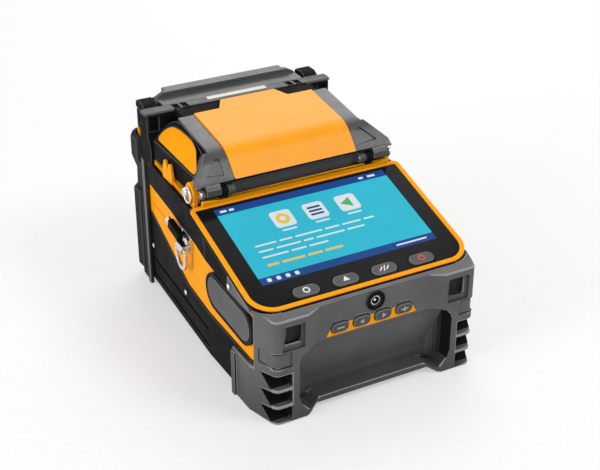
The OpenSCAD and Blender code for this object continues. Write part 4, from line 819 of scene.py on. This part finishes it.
class SPLICER_OT_keys(bpy.types.Operator):
    """Dresses the two rows of keys and prints their marks."""

    bl_idname = "splicer.keys"
    bl_label = "Keys and marks"

    def execute(self, context):
        edge = sizes().key_edge
        dress("front_key_panel", "orange", sizes().moulded_edge * 0.5)
        for i in range(1, 5):
            dress("screen_key_%d front_key_%d" % (i, i), "key", edge)
            self.screen_mark(i)
            self.front_mark(i)
        return {"FINISHED"}

    def screen_mark(self, i):
        """A ring, a pointer, three strokes or a red power sign."""
        node = "screen_key_%d" % i
        plane = display_plane()
        out = plane.col[2].to_3d()
        low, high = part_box(node)
        middle = (low + high) / 2
        face = max(v.co.dot(out) for v in NODES[node].data.vertices)
        middle += out * (face - middle.dot(out) + MARK_CLEARANCE)
        place = Matrix.Translation(middle) @ plane.to_3x3().to_4x4()
        thick = sizes().mark_height
        ring, pointer, stroke = 2.1 * MM, 2.3 * MM, 0.7 * MM
        bm = bmesh.new()
        if i == 1:
            disc(bm, place, ring, thick, 0, hole=1.3 * MM)
        elif i == 2:
            wedge(bm, place, pointer, thick, 0)
        elif i == 3:
            lean, steep = (Matrix.Rotation(math.radians(turn), 4, "Z") for turn in (45, 62))
            for x in (-2.1, 2.1):
                aside = place @ Matrix.Translation((x * MM, 0, 0))
                plate(bm, aside @ lean, 3.4 * MM, stroke, thick, 0)
            plate(bm, place @ steep, 4.4 * MM, 0.6 * MM, thick, 0)
        else:
            disc(bm, place, ring, thick, 0, hole=1.4 * MM)
            plate(bm, place @ Matrix.Translation((0, 1.6 * MM, thick)), stroke, 2.2 * MM, thick, 0)
        new_piece(node + "_mark", bm, node, "key", "red" if i == 4 else "mark")

    def front_mark(self, i):
        """A minus, two pointers or a plus."""
        node = "front_key_%d" % i
        low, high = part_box(node)
        middle = (low + high) / 2
        place = Matrix.Translation((middle.x, low.y - MARK_CLEARANCE, middle.z))
        place = place @ Matrix.Rotation(math.radians(90), 4, "X")
        thick = sizes().mark_height
        stroke, rounding = 0.9 * MM, 0.3 * MM
        bm = bmesh.new()
        if i in (1, 4):
            plate(bm, place, 4.6 * MM, stroke, thick, 0, rounding)
            if i == 4:
                above = place @ Matrix.Translation((0, 0, thick))
                plate(bm, above, stroke, 3.0 * MM, thick, 0, rounding)
        else:
            wedge(bm, place, 1.7 * MM, thick, 0, math.radians(90 if i == 2 else -90))
        new_piece(node + "_mark", bm, node, "key", "soft_mark")


class SPLICER_OT_cover(bpy.types.Operator):
    """Dresses the windproof cover."""

    bl_idname = "splicer.cover"
    bl_label = "Windproof cover"

    def execute(self, context):
        edge = sizes().moulded_edge
        dress("cover_body", "black", edge)
        dress("cover_frame", "grey", edge * 0.6)
        dress("cover_lid_panel", "lid", edge)
        dress("cover_inlays", "orange", edge)
        return {"FINISHED"}


class SPLICER_OT_rear(bpy.types.Operator):
    """Dresses the rear housing, its rail and the sleeve heater."""

    bl_idname = "splicer.rear"
    bl_label = "Rear housing and heater"

    def execute(self, context):
        edge = sizes().moulded_edge
        dress("rear_housing heater_clamp_left heater_clamp_right", "black", edge)
        dress("hinge_bar", "key", edge)
        dress("rear_rail", "rail", edge)
        dress("heater_lid", "grey", edge)
        dress("heater_tray", "alloy", edge * 0.5)
        dress("light_bar", "lamp", edge * 0.3)
        self.lens()
        return {"FINISHED"}

    def lens(self):
        """The flat diffuser over the light bar."""
        node = "light_bar"
        low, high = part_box(node)
        back = 0.5 * MM
        width, thick, rounding = 3.9 * MM, 0.25 * MM, 0.4 * MM
        place = Matrix.Translation(((low.x + high.x) / 2, (low.y + high.y) / 2 + back, high.z))
        bm = bmesh.new()
        plate(bm, place, high.x - low.x, width, thick, 0, rounding)
        new_piece("light_bar_lens", bm, body_of_node(node), record_slot(node), "lamp")


class SPLICER_OT_hardware(bpy.types.Operator):
    """Dresses the steel pins, leaves, rings, brackets and screws."""

    bl_idname = "splicer.hardware"
    bl_label = "Steel hardware"

    def execute(self, context):
        edge = sizes().metal_edge
        dress("hinge_pins lanyard_pins cover_hinge_pins heater_lid_pin", "steel", edge)
        dress("display_leaves", "black", edge)
        dress("lanyard_ring_left lanyard_ring_right", "steel", 0.0)
        dress("strap_brackets strap_ring_left strap_ring_right case_screws", "steel", edge)
        self.strap_clips()
        return {"FINISHED"}

    def strap_clips(self):
        """Black clips over the brackets' upper ends, each with a steel stud behind it."""
        node = "strap_brackets"
        low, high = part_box(node)
        clip, rounding = (3.6 * MM, 15.0 * MM, 6.4 * MM), 0.8 * MM
        stud_radius, stud_length, stud_back = 2.0 * MM, 4.0 * MM, 8.6 * MM
        inset, back, drop, lean = 3.4 * MM, 9.5 * MM, 3.0 * MM, math.radians(13.0)
        for side, name in ((-1.0, "left"), (1.0, "right")):
            spot = (side * (high.x - inset), (low.y + high.y) / 2 + back, high.z - drop)
            place = Matrix.Translation(spot) @ Matrix.Rotation(lean, 4, "X")
            bm = bmesh.new()
            made = bmesh.ops.create_cube(bm, size=1.0)
            bmesh.ops.scale(bm, vec=clip, verts=made["verts"])
            bmesh.ops.bevel(bm, geom=list(bm.edges), offset=rounding, affect="EDGES", segments=3,
                            profile=0.5, material=-1)
            stud = bmesh.ops.create_cone(bm, cap_ends=True, segments=24, radius1=stud_radius,
                                         radius2=stud_radius, depth=stud_length)
            turn = Matrix.Translation((0, stud_back, 0)) @ Matrix.Rotation(math.radians(90), 4, "X")
            bmesh.ops.transform(bm, matrix=turn, verts=stud["verts"])
            for face in {f for v in stud["verts"] for f in v.link_faces}:
                face.material_index = 1
            bmesh.ops.transform(bm, matrix=place, verts=bm.verts)
            new_piece("strap_clip_" + name, bm, body_of_node(node), "black", "black", "steel")


class SPLICER_OT_splice_head(bpy.types.Operator):
    """Dresses the fibre clamps, carriages, grooves and electrodes under the cover."""

    bl_idname = "splicer.splice_head"
    bl_label = "Splice head"

    def execute(self, context):
        edge = sizes().metal_edge
        dress("splice_base", "alloy", edge)
        dress("v_groove_block", "ceramic", edge)
        dress("electrodes", "steel", 0.0)
        dress("fibre_clamp_left fibre_clamp_right", "key", edge)
        dress("fibre_carriage_left fibre_carriage_right", "dark_alloy", edge)
        return {"FINISHED"}


class SPLICER_OT_inside(bpy.types.Operator):
    """Dresses what the closed case hides."""

    bl_idname = "splicer.inside"
    bl_label = "Inside pieces"

    def execute(self, context):
        edge = sizes().metal_edge
        dress("main_board", "board", edge)
        dress("high_voltage_module", "epoxy", edge * 3)
        dress("battery_pack", "wrap", edge * 4)
        dress("microscopes", "black", edge)
        dress("feed_motors", "alloy", edge)
        return {"FINISHED"}


class SPLICER_OT_stage(bpy.types.Operator):
    """Sets the pale floor, the soft light and the camera."""

    bl_idname = "splicer.stage"
    bl_label = "Studio stage"

    def execute(self, context):
        self.floor(context)
        self.world(context)
        for lamp in LAMPS:
            self.lamp(context, *lamp)
        self.camera(context)
        context.scene.view_settings.view_transform = "Standard"
        return {"FINISHED"}

    def floor(self, context):
        """The paper that the object stands on."""
        bm = bmesh.new()
        bmesh.ops.create_grid(bm, x_segments=1, y_segments=1, size=PAPER_HALF)
        mesh = bpy.data.meshes.new("studio_floor")
        bm.to_mesh(mesh)
        bm.free()
        material, tree, bsdf, coords = shader("studio_paper")
        fibre = noise(tree, coords, 400.0, 3.0)
        tone = ramp(tree, fibre.outputs["Fac"], (0.86, 0.86, 0.86), (0.9, 0.9, 0.9))
        tree.links.new(tone.outputs["Color"], bsdf.inputs["Base Color"])
        bsdf.inputs["Roughness"].default_value = 0.9
        self.pale_to_sight(tree, bsdf, coords)
        mesh.materials.append(material)
        obj = bpy.data.objects.new("studio_floor", mesh)
        context.scene.collection.objects.link(obj)

    def pale_to_sight(self, tree, bsdf, coords):
        """Lifts the lit paper towards white where it is looked at, and all the way far off."""
        away = tree.nodes.new("ShaderNodeVectorMath")
        away.operation = "LENGTH"
        tree.links.new(coords.outputs["Object"], away.inputs[0])
        fade, level = (map_range(tree, away.outputs["Value"], PAPER_NEAR, PAPER_FAR, near, 1.0)
                       for near in (0.5, 0.95))
        glow = tree.nodes.new("ShaderNodeEmission")
        glow.inputs["Color"].default_value = (1.0, 1.0, 1.0, 1.0)
        tree.links.new(level.outputs["Result"], glow.inputs["Strength"])
        share = tree.nodes.new("ShaderNodeMath")
        share.operation = "MULTIPLY"
        tree.links.new(self.seen_directly(tree), share.inputs[0])
        tree.links.new(fade.outputs["Result"], share.inputs[1])
        mix = tree.nodes.new("ShaderNodeMixShader")
        tree.links.new(share.outputs["Value"], mix.inputs["Fac"])
        tree.links.new(bsdf.outputs["BSDF"], mix.inputs[1])
        tree.links.new(glow.outputs["Emission"], mix.inputs[2])
        out = tree.nodes["Material Output"]
        tree.links.new(mix.outputs["Shader"], out.inputs["Surface"])

    def seen_directly(self, tree):
        """Whether a ray comes from the camera, a reflection or a clear piece."""
        path = tree.nodes.new("ShaderNodeLightPath")
        glossy, sight = (tree.nodes.new("ShaderNodeMath") for i in range(2))
        glossy.operation = sight.operation = "MAXIMUM"
        tree.links.new(path.outputs["Is Glossy Ray"], glossy.inputs[0])
        tree.links.new(path.outputs["Is Transmission Ray"], glossy.inputs[1])
        tree.links.new(path.outputs["Is Camera Ray"], sight.inputs[0])
        tree.links.new(glossy.outputs["Value"], sight.inputs[1])
        return sight.outputs["Value"]

    def world(self, context):
        """An even dome of light that looks white."""
        world = bpy.data.worlds.new("studio_world")
        context.scene.world = world
        world.use_nodes = True
        tree = world.node_tree
        tree.nodes.clear()
        seen = tree.nodes.new("ShaderNodeBackground")
        light = tree.nodes.new("ShaderNodeBackground")
        mix = tree.nodes.new("ShaderNodeMixShader")
        out = tree.nodes.new("ShaderNodeOutputWorld")
        for node, strength in ((seen, 1.0), (light, 0.5)):
            node.inputs["Color"].default_value = (1.0, 1.0, 1.0, 1.0)
            node.inputs["Strength"].default_value = strength
        tree.links.new(self.seen_directly(tree), mix.inputs["Fac"])
        tree.links.new(light.outputs["Background"], mix.inputs[1])
        tree.links.new(seen.outputs["Background"], mix.inputs[2])
        tree.links.new(mix.outputs["Shader"], out.inputs["Surface"])

    def lamp(self, context, name, place, target, size, power):
        """A square soft box that looks at a point of the object."""
        data = bpy.data.lights.new(name, "AREA")
        data.shape = "SQUARE"
        data.size = size
        data.energy = power
        obj = bpy.data.objects.new(name, data)
        obj.location = place
        obj.rotation_mode = "QUATERNION"
        obj.rotation_quaternion = (Vector(target) - Vector(place)).to_track_quat("-Z", "Y")
        context.scene.collection.objects.link(obj)

    def camera(self, context):
        """The camera where the photograph was taken from."""
        data = bpy.data.cameras.new("photo_camera")
        data.sensor_width = 36.0
        data.lens = CAMERA_LENS
        data.shift_y = CAMERA_SHIFT
        data.clip_start, data.clip_end = 0.02, 20.0
        obj = bpy.data.objects.new("photo_camera", data)
        obj.location = CAMERA_PLACE
        level = math.cos(CAMERA_ELEVATION)
        back = Vector((math.sin(CAMERA_AZIMUTH) * level, -math.cos(CAMERA_AZIMUTH) * level,
                       math.sin(CAMERA_ELEVATION)))
        obj.rotation_mode = "QUATERNION"
        obj.rotation_quaternion = (-back).to_track_quat("-Z", "Y")
        context.scene.collection.objects.link(obj)
        context.scene.camera = obj


class SPLICER_PT_panel(bpy.types.Panel):
    """Lists the dressing steps, sizes and colours."""

    bl_idname = "SPLICER_PT_panel"
    bl_label = "Fiber fusion splicer"
    bl_space_type = "VIEW_3D"
    bl_region_type = "UI"
    bl_category = "Splicer"

    def draw(self, context):
        layout = self.layout
        for group in (colours(), sizes()):
            box = layout.box()
            for name in group.__annotations__:
                box.prop(group, name)
        for operator in OPERATORS:
            layout.operator(operator.bl_idname)


OPERATORS = (
    SPLICER_OT_stage,
    SPLICER_OT_case,
    SPLICER_OT_bumpers,
    SPLICER_OT_display,
    SPLICER_OT_keys,
    SPLICER_OT_cover,
    SPLICER_OT_rear,
    SPLICER_OT_hardware,
    SPLICER_OT_splice_head,
    SPLICER_OT_inside,
)
CLASSES = (SplicerFinish, SplicerSizes, *OPERATORS, SPLICER_PT_panel)


def register():
    """Registers the classes and hangs the settings on the scene."""
    for cls in CLASSES:
        bpy.utils.register_class(cls)
    bpy.types.Scene.splicer_finish = bpy.props.PointerProperty(type=SplicerFinish)
    bpy.types.Scene.splicer_sizes = bpy.props.PointerProperty(type=SplicerSizes)


def unregister():
    """Takes the settings and the classes away again."""
    del bpy.types.Scene.splicer_sizes
    del bpy.types.Scene.splicer_finish
    for cls in reversed(CLASSES):
        bpy.utils.unregister_class(cls)


def main():
    """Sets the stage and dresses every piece."""
    register()
    make_finishes()
    bpy.ops.splicer.stage()
    bpy.ops.splicer.case()
    bpy.ops.splicer.bumpers()
    bpy.ops.splicer.display()
    bpy.ops.splicer.keys()
    bpy.ops.splicer.cover()
    bpy.ops.splicer.rear()
    bpy.ops.splicer.hardware()
    bpy.ops.splicer.splice_head()
    bpy.ops.splicer.inside()


if __name__ == "__main__":
    main()
